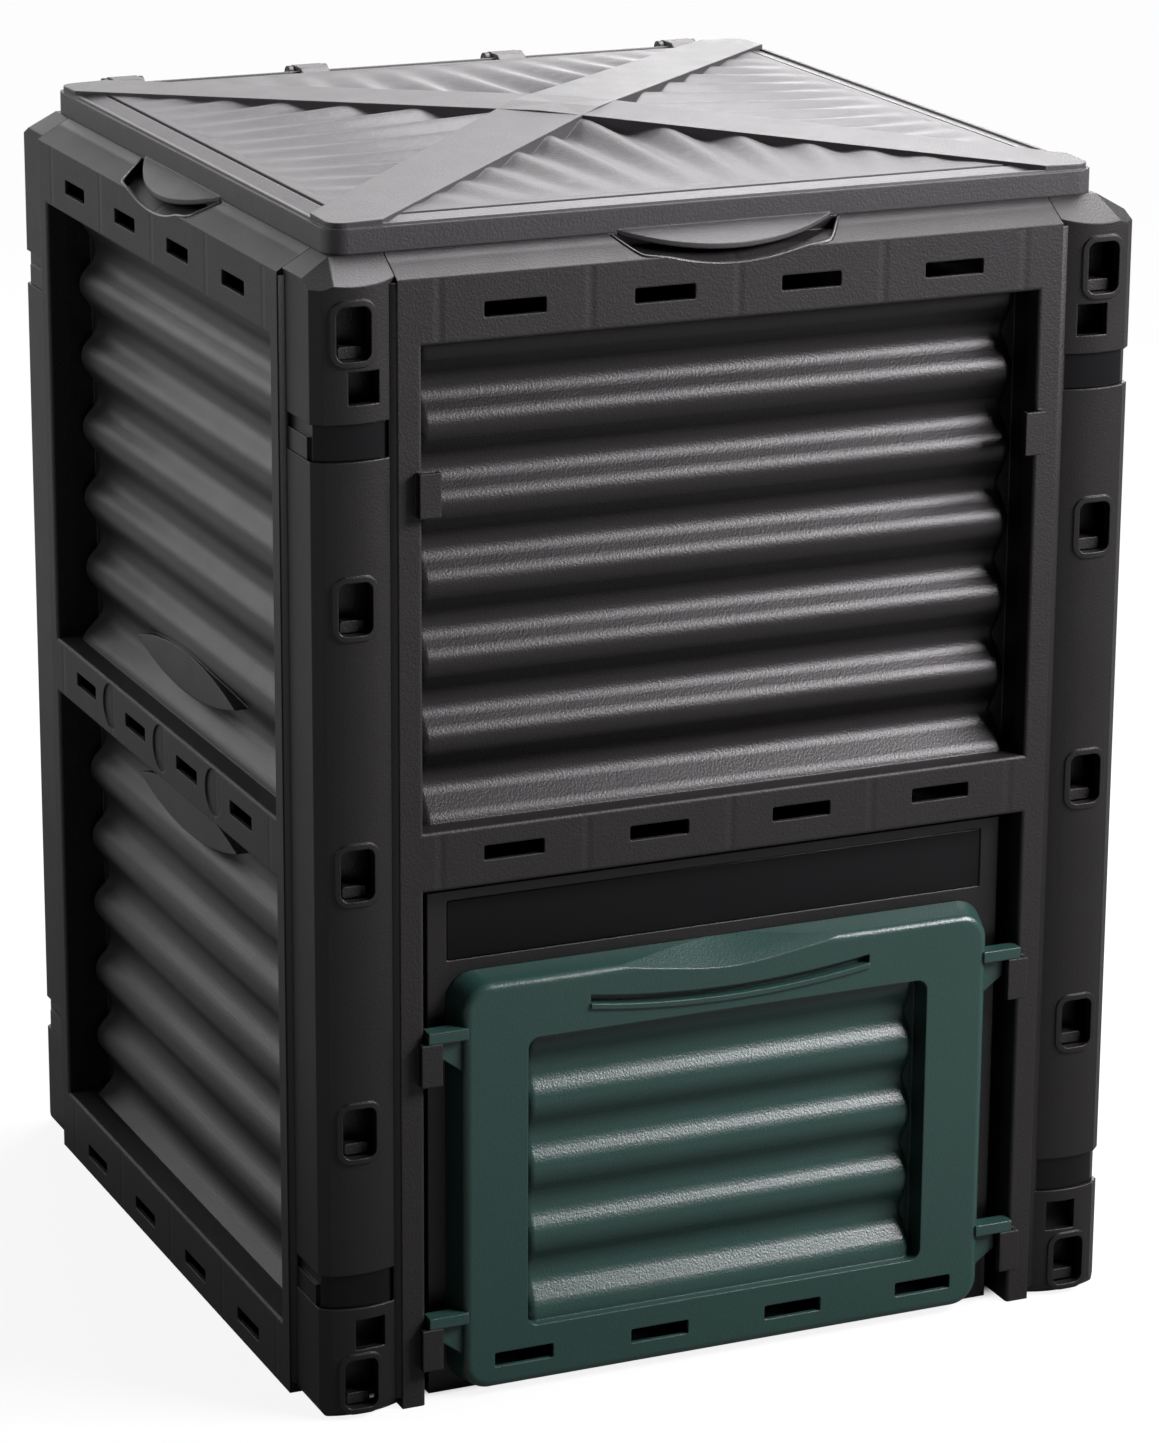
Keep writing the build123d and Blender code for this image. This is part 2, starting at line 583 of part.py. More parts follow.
def lock_strap(z):
    """Strap in a notch: a bent plate with a pad on its side leg."""
    low = z - LOCK_HEIGHT / 2 + LOCK_GAP
    high = z + LOCK_HEIGHT / 2 - LOCK_GAP
    inner = LOCK_DEPTH - LOCK_GAP
    outer = inner - LOCK_THICK
    short = LOCK_END + LOCK_GAP
    plate = lock_band(outer, inner, low, high, short)
    pad = lock_band(outer - LOCK_PAD_RISE, inner, low, low + LOCK_PAD_HEIGHT, short)
    with BuildPart() as strap:
        add(pad)
        split(bisect_by=Plane(origin=(0, -POST_FACE + LOCK_PAD_INSET, 0), z_dir=(0, 1, 0)), keep=Keep.TOP)
        add(plate)
    return strap.part


blank_section = post_section(0, POST_FACE - POST_RETURN)
cap_section = post_section(0, INNER)
notches = [lock_band(-POST_SKIN, LOCK_DEPTH, z - LOCK_HEIGHT / 2, z + LOCK_HEIGHT / 2, LOCK_END)
           for z in LOCK_Z.values()]
straps = [lock_strap(z) for z in LOCK_Z.values()]
rims = rim_blocks() & post_solid(-WINDOW_RIM_PROUD, POST_FACE - POST_RETURN, 0, BEVEL_Z)
pocket = post_pocket()

with BuildPart() as post:
    with BuildSketch():
        add(blank_section)
    extrude(amount=SEAT_Z)
    foot = post.edges().filter_by_position(Axis.Z, -0.01, 0.01)
    fillet(foot.filter_by(lambda e: min(e.center().X, e.center().Y) < -POST_FACE + CUT), POST_FOOT_ROUND)
    with BuildSketch(Plane.XY.offset(BEVEL_Z - POST_CAP)):
        add(cap_section)
    extrude(amount=BEVEL_RISE + POST_CAP)
    for plane in (BEVEL_FRONT, BEVEL_LEFT, BEVEL_CORNER, corner_cut(0)):
        split(bisect_by=plane, keep=Keep.BOTTOM)
    add(rims)
    add(pocket, mode=Mode.SUBTRACT)
    add(notches, mode=Mode.SUBTRACT)
    with BuildSketch(Plane.XZ.offset(POST_FACE - 2 * POST_SKIN)):
        with Locations(*window_places()):
            RectangleRounded(WINDOW_WIDTH, WINDOW_HEIGHT, WINDOW_ROUND)
        with Locations((-FACE + SQUARE_INSET, SQUARE_LOW_Z), (-FACE + SQUARE_INSET, BEVEL_Z - SQUARE_HIGH_DROP)):
            Rectangle(SQUARE, SQUARE)
    extrude(amount=3 * POST_SKIN + POST_BULGE, mode=Mode.SUBTRACT)


def at_corner(piece, rear, right):
    """A front left piece carried over to one of the four corners."""
    if right:
        piece = mirror(piece, about=Plane.YZ)
    if rear:
        piece = mirror(piece, about=Plane.XZ)
    return piece


corner_pieces = []
for row in ("front", "rear"):
    for column in ("left", "right"):
        placed = at_corner(post.part, row == "rear", column == "right")
        with BuildPart() as corner_post:
            add(placed)
        corner_post.part.label = f"corner_post_{row}_{column}"
        corner_pieces.append(corner_post)
        for level, strap in zip(LOCK_Z, straps):
            placed = at_corner(strap, row == "rear", column == "right")
            with BuildPart() as corner_lock:
                add(placed)
            corner_lock.part.label = f"corner_lock_{row}_{column}_{level}"
            corner_pieces.append(corner_lock)

# Lid: rim, X of ribs, four wavy triangles, tongues and hinge knuckles
RIDGE_HALF = LID_HALF - LID_RIDGE_INSET
STRIP_HALF = RIDGE_HALF - LID_RIDGE_WIDTH
RIDGE_CORNER = LID_CORNER - LID_RIDGE_INSET
STRIP_CORNER = RIDGE_CORNER - LID_RIDGE_WIDTH
RING_HALF = LID_PANEL_HALF - LID_RIDGE_WIDTH
PANEL_OVERLAP = LID_RIB_WALL / 2
RIB_SLOPE = LID_APEX_RISE / LID_PANEL_HALF / sqrt(2)
RIB_TOP = PANEL_Z + LID_APEX_RISE + LID_RIB_PROUD
LID_LOW = LID_TOP - LID_SKIN


def half_rib(thinner, lower, base, reach):
    """Tapered half rib along +X with a sloping top."""
    middle = LID_RIB_MIDDLE / 2 - thinner
    end = LID_RIB_CORNER / 2 - thinner
    with BuildPart() as rib:
        with BuildSketch(Plane.XY.offset(base)):
            with BuildLine():
                Polyline((0, -middle), (reach, -end), (reach, end), (0, middle), (0, -middle))
            make_face()
        extrude(amount=2 * (RIB_TOP - base))
        split(bisect_by=Plane(origin=(0, 0, RIB_TOP - lower), z_dir=(RIB_SLOPE, 0, 1)), keep=Keep.BOTTOM)
    return rib.part


def lid_panel():
    """Wavy triangle at the front: deep fanned waves at its tip that run out flat at the rim."""
    tip = LID_RIB_MIDDLE / sqrt(2) - PANEL_OVERLAP
    base = LID_PANEL_HALF - LID_RIB_CORNER / sqrt(2) + PANEL_OVERLAP
    steps = range(-2 * LID_WAVE_HALF_COUNT, 2 * LID_WAVE_HALF_COUNT + 1)
    with BuildPart() as panel:
        for y, depth in ((tip, LID_WAVE_DEPTH), (LID_PANEL_HALF, 0.0)):
            pitch = LID_WAVE_PITCH * (LID_FAN - y) / (LID_FAN - LID_PANEL_HALF)
            crest = PANEL_Z + LID_APEX_RISE * (1 - y / LID_PANEL_HALF)
            top = [(k * pitch / 2, crest - depth * (k % 2)) for k in steps]
            under = [(x, z - LID_SHEET) for x, z in reversed(top)]
            with BuildSketch(Plane.XZ.offset(y)):
                with BuildLine():
                    Spline(*top)
                    Line(top[-1], under[0])
                    Spline(*under)
                    Line(under[-1], top[0])
                make_face()
        loft(ruled=True)
        with BuildSketch(Plane.XY.offset(LID_LOW)):
            with BuildLine():
                Polyline((0, -tip), (base, -LID_PANEL_HALF), (-base, -LID_PANEL_HALF), (0, -tip))
            make_face()
        extrude(amount=2 * LID_SKIRT, mode=Mode.INTERSECT)
    return panel.part


def lid_tongue():
    """Finger tongue at the front, parallel to the bevel."""
    slope = (0, -sin(BEVEL_SLOPE), cos(BEVEL_SLOPE))
    upper = Plane(origin=(0, -FACE, BEVEL_Z + TONGUE_RAISE), z_dir=slope)
    lower = Plane(origin=(0, -FACE, BEVEL_Z + TONGUE_RAISE - TONGUE_THICK), z_dir=slope)
    with BuildPart() as tongue:
        with BuildSketch(Plane.XY.offset(BEVEL_Z - TOP_RAIL)):
            with BuildLine():
                ThreePointArc((-TONGUE_HALF, -LID_HALF), (0, -LID_HALF - TONGUE_REACH), (TONGUE_HALF, -LID_HALF))
                Line((TONGUE_HALF, -LID_HALF), (-TONGUE_HALF, -LID_HALF))
            make_face()
        extrude(amount=2 * TOP_RAIL)
        split(bisect_by=upper, keep=Keep.BOTTOM)
        split(bisect_by=lower, keep=Keep.TOP)
    return tongue.part


def rim_prism():
    """Everything inside the lid's ridge, to trim the ribs."""
    with BuildPart() as prism:
        with BuildSketch(Plane.XY.offset(LID_LOW - CUT)):
            RectangleRounded(2 * RIDGE_HALF, 2 * RIDGE_HALF, RIDGE_CORNER)
        extrude(amount=3 * LID_SKIRT)
    return prism.part


rib_outer = half_rib(0, 0, LID_LOW, sqrt(2) * LID_HALF)
rib_inner = half_rib(LID_RIB_WALL, LID_SKIN, LID_LOW - CUT, sqrt(2) * (RING_HALF - LID_RIB_CORNER / 2))
rib_trim = rim_prism()
ribs = [rib_outer.rotate(Axis.Z, 45 + 90 * k) & rib_trim for k in range(4)]
panel = lid_panel()
tongue = lid_tongue()

with BuildPart() as lid:
    with BuildSketch(Plane.XY.offset(SEAT_Z)):
        RectangleRounded(2 * LID_HALF, 2 * LID_HALF, LID_CORNER)
    extrude(amount=LID_SKIRT)
    with BuildSketch(Plane.XY.offset(LID_TOP)):
        RectangleRounded(2 * RIDGE_HALF, 2 * RIDGE_HALF, RIDGE_CORNER)
        RectangleRounded(2 * STRIP_HALF, 2 * STRIP_HALF, STRIP_CORNER, mode=Mode.SUBTRACT)
    extrude(amount=LID_RIDGE_RISE)
    with BuildSketch(Plane.XY.offset(LID_TOP)):
        RectangleRounded(2 * STRIP_HALF, 2 * STRIP_HALF, STRIP_CORNER)
    with BuildSketch(Plane.XY.offset(PANEL_Z)):
        RectangleRounded(2 * LID_PANEL_HALF, 2 * LID_PANEL_HALF, STRIP_CORNER)
    loft()
    with BuildSketch(Plane.XY.offset(PANEL_Z - LID_GROOVE_DEPTH)):
        Rectangle(2 * (LID_PANEL_HALF + LID_GROOVE_WIDTH), 2 * (LID_PANEL_HALF + LID_GROOVE_WIDTH))
        Rectangle(2 * LID_PANEL_HALF, 2 * LID_PANEL_HALF, mode=Mode.SUBTRACT)
    extrude(amount=LID_STRIP_RISE, mode=Mode.SUBTRACT)
    with BuildSketch(Plane.XY.offset(SEAT_Z - CUT)):
        RectangleRounded(2 * (LID_HALF - LID_SKIN), 2 * (LID_HALF - LID_SKIN), LID_CORNER - LID_SKIN)
    extrude(amount=LID_LOW - SEAT_Z + CUT, mode=Mode.SUBTRACT)
    with BuildSketch(Plane.XY.offset(LID_LOW - CUT)):
        Rectangle(2 * RING_HALF, 2 * RING_HALF)
    extrude(amount=2 * LID_SKIRT, mode=Mode.SUBTRACT)
    add(ribs)
    for k in range(4):
        add(panel, rotation=(0, 0, 90 * k))
    for k in range(4):
        add(rib_inner, rotation=(0, 0, 45 + 90 * k), mode=Mode.SUBTRACT)
    for k in (-1, 0, 1):
        add(tongue, rotation=(0, 0, 90 * k))
    for x in HINGE_X:
        with BuildSketch(Plane.YZ.offset(x - KNUCKLE_WIDTH / 2)):
            with Locations((AXIS_Y, AXIS_Z)):
                Circle(KNUCKLE_R)
            with BuildLine():
                Polyline((LID_HALF - LID_SKIN, AXIS_Z - KNUCKLE_WEB), (AXIS_Y, AXIS_Z - KNUCKLE_WEB),
                         (AXIS_Y, AXIS_Z + KNUCKLE_R), (LID_HALF - KNUCKLE_PAD, AXIS_Z + KNUCKLE_R),
                         (LID_HALF - 2 * KNUCKLE_PAD, LID_TOP), (LID_HALF - LID_SKIN, LID_TOP),
                         (LID_HALF - LID_SKIN, AXIS_Z - KNUCKLE_WEB))
            make_face()
        extrude(amount=KNUCKLE_WIDTH)
        with Locations(Location((x, AXIS_Y, AXIS_Z), (0, 90, 0))):
            Hole(PIN_R + PIN_CLEAR, depth=KNUCKLE_WIDTH)
lid.part.label = "lid"

pins = []
for number, x in enumerate(HINGE_X, 1):
    with BuildPart() as lid_hinge_pin:
        with BuildSketch(Plane.YZ.offset(x - EAR_X - EAR_THICK / 2)):
            with Locations((AXIS_Y, AXIS_Z)):
                Circle(PIN_R)
        extrude(amount=2 * EAR_X + EAR_THICK)
    lid_hinge_pin.part.label = f"lid_hinge_pin_{number}"
    pins.append(lid_hinge_pin)

# Door: tapered hollow frame, wavy window field, handle, slots and hooks
DOOR_MIDDLE = DOOR_Z0 + DOOR_HEIGHT / 2
DOOR_DEPTH = DOOR_BACK_Y - DOOR_Y
DOOR_WINDOW_Z1 = DOOR_WINDOW_Z0 + DOOR_WINDOW_HEIGHT
DOOR_WINDOW_MIDDLE = DOOR_WINDOW_Z0 + DOOR_WINDOW_HEIGHT / 2
DOOR_WAVE_HALF = DOOR_WINDOW_HALF - DOOR_WAVE_CHANNEL
DOOR_FLOOR_X0 = DOOR_WAVE_HALF - DOOR_WAVE_ROUND
DOOR_FLOOR_X1 = DOOR_WINDOW_HALF + DOOR_WAVE_SHEET
GROOVE_Z = DOOR_TOP - GROOVE_DROP
HANDLE_LOW = GROOVE_Z - GROOVE_SAG - GROOVE_HEIGHT - GROOVE_LIP - DOOR_SKIN
HANDLE_RISE = HANDLE_DIP + DOOR_TOP_SLOPE


def door_block(inset):
    """Tapered block of the door, set in from its outer faces."""
    with BuildPart() as block:
        with BuildSketch(Plane.XZ.offset(-DOOR_BACK_Y)):
            with Locations((0, DOOR_MIDDLE)):
                RectangleRounded(2 * (DOOR_HALF_BACK - inset), DOOR_HEIGHT - 2 * inset, DOOR_CORNER - inset)
        with BuildSketch(Plane.XZ.offset(-DOOR_Y - inset)):
            with Locations((0, DOOR_MIDDLE - DOOR_TOP_SLOPE / 2)):
                RectangleRounded(2 * (DOOR_HALF_FRONT - inset), DOOR_HEIGHT - DOOR_TOP_SLOPE - 2 * inset,
                                 DOOR_CORNER - inset)
        loft(ruled=True)
    return block.part


def door_cavity():
    """Hollow behind the door's face, with the handle zone left solid."""
    block = door_block(DOOR_SKIN)
    with BuildPart() as cavity:
        add(block)
        with BuildSketch(Plane.XZ.offset(-DOOR_BACK_Y - CUT)):
            with Locations((0, (HANDLE_LOW + DOOR_TOP) / 2)):
                Rectangle(2 * (HANDLE_HALF + DOOR_SKIN), DOOR_TOP - HANDLE_LOW)
        extrude(amount=DOOR_DEPTH + 2 * CUT, mode=Mode.SUBTRACT)
    return cavity.part


def sagging_strip(top, height, out, depth):
    """Strip between two sagging arcs across the handle, from a plane before the door's face inwards."""
    with BuildPart() as strip:
        with BuildSketch(Plane.XZ.offset(-DOOR_Y + out)):
            with BuildLine():
                upper = ThreePointArc((-GROOVE_HALF, top), (0, top - GROOVE_SAG), (GROOVE_HALF, top))
                lower = ThreePointArc((-GROOVE_HALF, top - height), (0, top - height - GROOVE_SAG),
                                      (GROOVE_HALF, top - height))
                Line(upper @ 0, lower @ 0)
                Line(upper @ 1, lower @ 1)
            make_face()
        extrude(amount=-out - depth)
    return strip.part


def hook_at(sign, z):
    """Hook of the door over the top of a keeper: arm, leg behind the keeper and gusset."""
    leg_end = OPEN_HALF - HOOK_CLEAR
    arm_y = -FACE - HOOK_FRONT + HOOK_DEPTH / 2
    leg_y = -FACE + HOOK_LEG_BACK + HOOK_LEG_THICK / 2
    gusset_y = -FACE + GUSSET_THICK / 2
    root = DOOR_HALF_FRONT - DOOR_SKIN / 2
    leg_start = KEEPER_X + KEEPER_LIP + HOOK_CLEAR
    side_end = KEEPER_X - 1.5 * HOOK_CLEAR
    with BuildPart() as hook:
        with Locations((sign * (root + leg_end) / 2, arm_y, z + HOOK_ARM / 2)):
            Box(leg_end - root, HOOK_DEPTH, HOOK_ARM)
        with Locations((sign * (leg_start + leg_end) / 2, leg_y, z - (HOOK_LEG - CUT) / 2)):
            Box(leg_end - leg_start, HOOK_LEG_THICK, HOOK_LEG + CUT)
        with BuildSketch(Plane.XZ.offset(-gusset_y + GUSSET_THICK / 2)):
            with BuildLine():
                Polyline((sign * root, z - GUSSET_HEIGHT), (sign * root, z), (sign * side_end, z),
                         (sign * side_end, z - GUSSET_HEIGHT / 2), (sign * root, z - GUSSET_HEIGHT))
            make_face()
        extrude(amount=-GUSSET_THICK)
    return hook.part


outer_block = door_block(0)
cavity = door_cavity()
door_waves = wave_field(DOOR_Y + DOOR_WAVE_BACK, DOOR_BACK_Y, DOOR_WINDOW_Z1 - DOOR_WAVE_START, DOOR_WAVE_PITCH,
                        DOOR_WAVE_COUNT, DOOR_WAVE_DEPTH, DOOR_WAVE_RISE, DOOR_WAVE_BEND, DOOR_WAVE_SHEET,
                        DOOR_WAVE_HALF, DOOR_WINDOW_Z0, DOOR_WINDOW_Z1, DOOR_WAVE_ROUND)
groove = sagging_strip(GROOVE_Z, GROOVE_HEIGHT, CUT, GROOVE_DEPTH)
bead = sagging_strip(GROOVE_Z - GROOVE_HEIGHT, GROOVE_LIP, GROOVE_LIP_PROUD, DOOR_SKIN)
hooks = [hook_at(sign, z + KEEPER_HEIGHT) for sign in (-1, 1) for z in KEEPER_Z[:2]]

with BuildPart() as door:
    add(outer_block)
    fillet(door.faces().sort_by(Axis.Y)[0].edges(), DOOR_EDGE)
    add(cavity, mode=Mode.SUBTRACT)
    with BuildSketch(Plane.XZ.offset(-DOOR_Y - DOOR_SKIN / 2)):
        with Locations((0, DOOR_WINDOW_MIDDLE)):
            RectangleRounded(2 * (DOOR_WINDOW_HALF + DOOR_SKIN), DOOR_WINDOW_HEIGHT + 2 * DOOR_SKIN,
                             DOOR_WINDOW_ROUND + DOOR_SKIN)
    extrude(amount=-DOOR_DEPTH + DOOR_SKIN / 2)
    with BuildSketch(Plane.XZ.offset(-DOOR_Y + CUT)):
        with Locations((0, DOOR_WINDOW_MIDDLE)):
            RectangleRounded(2 * DOOR_WINDOW_HALF, DOOR_WINDOW_HEIGHT, DOOR_WINDOW_ROUND)
    extrude(amount=-DOOR_DEPTH - 2 * CUT, mode=Mode.SUBTRACT)
    add(door_waves)
    with BuildSketch(Plane.XZ.offset(-DOOR_BACK_Y)):
        for sign in (-1, 1):
            with Locations((sign * (DOOR_FLOOR_X0 + DOOR_FLOOR_X1) / 2, DOOR_WINDOW_MIDDLE)):
                Rectangle(DOOR_FLOOR_X1 - DOOR_FLOOR_X0, DOOR_WINDOW_HEIGHT)
    extrude(amount=DOOR_WAVE_SHEET)
    with BuildSketch(Plane.XZ.offset(-DOOR_Y)):
        with BuildLine():
            rise = DOOR_TOP - DOOR_TOP_SLOPE
            Spline((-HANDLE_HALF, rise), (0, rise - HANDLE_DIP), (HANDLE_HALF, rise), tangents=((1, 0), (1, 0)))
            Polyline((HANDLE_HALF, rise), (HANDLE_HALF, rise + HANDLE_RISE), (-HANDLE_HALF, rise + HANDLE_RISE),
                     (-HANDLE_HALF, rise))
        make_face()
    extrude(amount=sqrt(DOOR_DEPTH ** 2 + HANDLE_RISE ** 2), dir=(0, DOOR_DEPTH, HANDLE_RISE), mode=Mode.SUBTRACT)
    add(bead)
    add(groove, mode=Mode.SUBTRACT)
    with BuildSketch(Plane.XZ.offset(-DOOR_Y + CUT)):
        with Locations(*slot_centres(DOOR_SLOT_PITCH, DOOR_SLOT_Z)):
            RectangleRounded(SLOT_LENGTH, SLOT_HEIGHT, SLOT_ROUND)
    extrude(amount=-DOOR_SKIN - 2 * CUT, mode=Mode.SUBTRACT)
    add(hooks)
door.part.label = "door"

# The keepers stand out further than the rear posts, so all pieces move back to lie even about the origin
FRONT_REACH = FACE + KEEPER_STAND + KEEPER_PLATE
REAR_REACH = POST_FACE + POST_BULGE + WINDOW_RIM_PROUD
middle = Location((0, (FRONT_REACH - REAR_REACH) / 2, 0))

os.makedirs("parts", exist_ok=True)
for node in [front_wall, left_wall, right_wall, rear_wall, *corner_pieces, lid, *pins, door]:
    export_step(node.part.moved(middle), f"parts/{node.part.label}.step")
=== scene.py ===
"""Looks of the thermal compost bin: grained plastics, a bare label plate, thin trim, light and camera."""
import logging
import math
from dataclasses import dataclass, field
from enum import Enum

import bpy
from mathutils import Matrix, Vector


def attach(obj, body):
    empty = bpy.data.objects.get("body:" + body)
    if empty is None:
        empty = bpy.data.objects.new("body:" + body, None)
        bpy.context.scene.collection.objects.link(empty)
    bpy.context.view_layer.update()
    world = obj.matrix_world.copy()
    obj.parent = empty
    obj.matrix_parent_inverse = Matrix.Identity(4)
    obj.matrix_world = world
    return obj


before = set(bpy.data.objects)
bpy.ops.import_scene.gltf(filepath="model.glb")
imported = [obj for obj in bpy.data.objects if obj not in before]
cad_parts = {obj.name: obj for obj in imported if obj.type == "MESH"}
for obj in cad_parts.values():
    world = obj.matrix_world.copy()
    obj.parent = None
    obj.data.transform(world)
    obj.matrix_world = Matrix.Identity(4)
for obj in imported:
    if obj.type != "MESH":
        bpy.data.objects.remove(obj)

Socket = bpy.types.NodeSocket
Triple = tuple[float, float, float]

LOG = logging.getLogger("compost_bin")
MM = 0.001
BIN = "bin"                        # body that every added piece rides on
SHELL_MIDDLE = 1.65 * MM           # the shell's middle lies this far behind the frame's origin
SMOOTH_ANGLE = math.radians(35)    # flatter edges of added pieces are shaded smooth
NOISE_ROUGHNESS = 0.55
TOUCH = 0.1 * MM                   # points closer than this count as one
WHITE = (1.0, 1.0, 1.0, 1.0)


class Slot(Enum):
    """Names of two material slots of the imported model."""

    WALL = "wall_plastic"
    LOCK = "lock_plastic"


class Rail(Enum):
    """Which way the rails of a wall run."""

    ALONG_X = "X"
    ALONG_Y = "Y"


class NodeMaker:
    """Adds and links shader nodes of one material."""

    def __init__(self, name: str) -> None:
        """Makes an empty material.

        Args:
            name: the material's name.
        """
        self.material = bpy.data.materials.new(name)
        self.material.use_nodes = True
        self.tree = self.material.node_tree
        self.tree.nodes.clear()

    def add(self, kind: str, **settings: object) -> bpy.types.Node:
        """Adds a node.

        Args:
            kind: the node's type name.
            settings: attributes to set on the node.

        Returns:
            The new node.
        """
        node = self.tree.nodes.new(kind)
        for key, value in settings.items():
            setattr(node, key, value)
        return node

    def link(self, source: Socket, target: Socket) -> None:
        """Links two sockets."""
        self.tree.links.new(source, target)

    def math(self, operation: str, first: object, second: object = 0.0) -> Socket:
        """Adds a Math node.

        Args:
            operation: the node's operation.
            first: a socket or a number.
            second: a socket or a number.

        Returns:
            The result's socket.
        """
        node = self.add("ShaderNodeMath", operation=operation)
        for socket, value in zip(node.inputs, (first, second)):
            if isinstance(value, Socket):
                self.link(value, socket)
            else:
                socket.default_value = value
        return node.outputs["Value"]

    def ramp(self, value: Socket, low: float, high: float, to_low: float, to_high: float) -> Socket:
        """Adds a smooth Map Range node.

        Args:
            value: the socket to map.
            low: where the range starts.
            high: where the range ends.
            to_low: the result at the start.
            to_high: the result at the end.

        Returns:
            The result's socket.
        """
        node = self.add("ShaderNodeMapRange", interpolation_type="SMOOTHSTEP")
        self.link(value, node.inputs["Value"])
        for name, number in (("From Min", low), ("From Max", high), ("To Min", to_low), ("To Max", to_high)):
            node.inputs[name].default_value = number
        return node.outputs["Result"]

    def noise(self, place: Socket, cell: float, detail: float) -> Socket:
        """Adds a Noise node.

        Args:
            place: the coordinates.
            cell: size of the pattern in metres.
            detail: layers of finer pattern.

        Returns:
            The factor's socket.
        """
        node = self.add("ShaderNodeTexNoise")
        node.inputs["Scale"].default_value = 1.0 / cell
        node.inputs["Detail"].default_value = detail
        node.inputs["Roughness"].default_value = NOISE_ROUGHNESS
        self.link(place, node.inputs["Vector"])
        return node.outputs["Fac"]

    def axes(self, place: Socket) -> dict[str, Socket]:
        """Splits coordinates.

        Args:
            place: the coordinates.

        Returns:
            The sockets by the axes' letters.
        """
        node = self.add("ShaderNodeSeparateXYZ")
        self.link(place, node.inputs["Vector"])
        return {letter: node.outputs[letter] for letter in "XYZ"}

    def outward(self, place: Socket) -> Socket:
        """Measures how far a place lies from the upright axis, along X or Y, whichever is more.

        Args:
            place: the coordinates.

        Returns:
            A socket with the distance in metres.
        """
        axes = self.axes(place)
        return self.math("MAXIMUM", self.math("ABSOLUTE", axes["X"]), self.math("ABSOLUTE", axes["Y"]))


@dataclass(frozen=True)
class SinkMarks:
    """Faint sink marks on the rails, where ribs stand behind them."""

    rails: Rail
    pitch: float
    heights: tuple[tuple[float, float], ...]
    half_width: float = 5 * MM
    depth: float = 0.35 * MM

    def add_to(self, maker: NodeMaker, place: Socket) -> Socket:
        """Builds the marks' height.

        Args:
            maker: the material in the making.
            place: the object's coordinates.

        Returns:
            A socket with the height in metres.
        """
        axes = maker.axes(place)
        along = maker.math("PINGPONG", axes[self.rails.value], self.pitch / 2)
        line = maker.ramp(along, 0.0, self.half_width, -self.depth, 0.0)
        mask: object = 0.0
        for low, high in self.heights:
            above = maker.math("GREATER_THAN", axes["Z"], low)
            below = maker.math("LESS_THAN", axes["Z"], high)
            mask = maker.math("ADD", maker.math("MULTIPLY", above, below), mask)
        return maker.math("MULTIPLY", line, mask)


@dataclass(frozen=True)
class CoarseFaces:
    """Coarser, duller grain of the outer rails and jambs, next to the smoother waves behind them."""

    start: float = 286.5 * MM
    end: float = 290 * MM
    dulling: float = 0.15
    grain_depth: float = 0.30 * MM

    def add_to(self, maker: NodeMaker, place: Socket) -> Socket:
        """Builds a mask, 1 on the outer faces and 0 on the waves."""
        return maker.ramp(maker.outward(place), self.start, self.end, 0.0, 1.0)


@dataclass(frozen=True)
class SharpZone:
    """Part of a wall round its finger scoop where edges aren't rounded, since a lip closes them flush."""

    rails: Rail
    low: float = 776 * MM
    half_width: float = 58.5 * MM

    def add_to(self, maker: NodeMaker, place: Socket) -> Socket:
        """Builds the zone's mask.

        Args:
            maker: the material in the making.
            place: the object's coordinates.

        Returns:
            A socket that is 1 in the zone and 0 elsewhere.
        """
        axes = maker.axes(place)
        aside = maker.math("ABSOLUTE", axes[self.rails.value])
        near = maker.math("LESS_THAN", aside, self.half_width)
        return maker.math("MULTIPLY", near, maker.math("GREATER_THAN", axes["Z"], self.low))


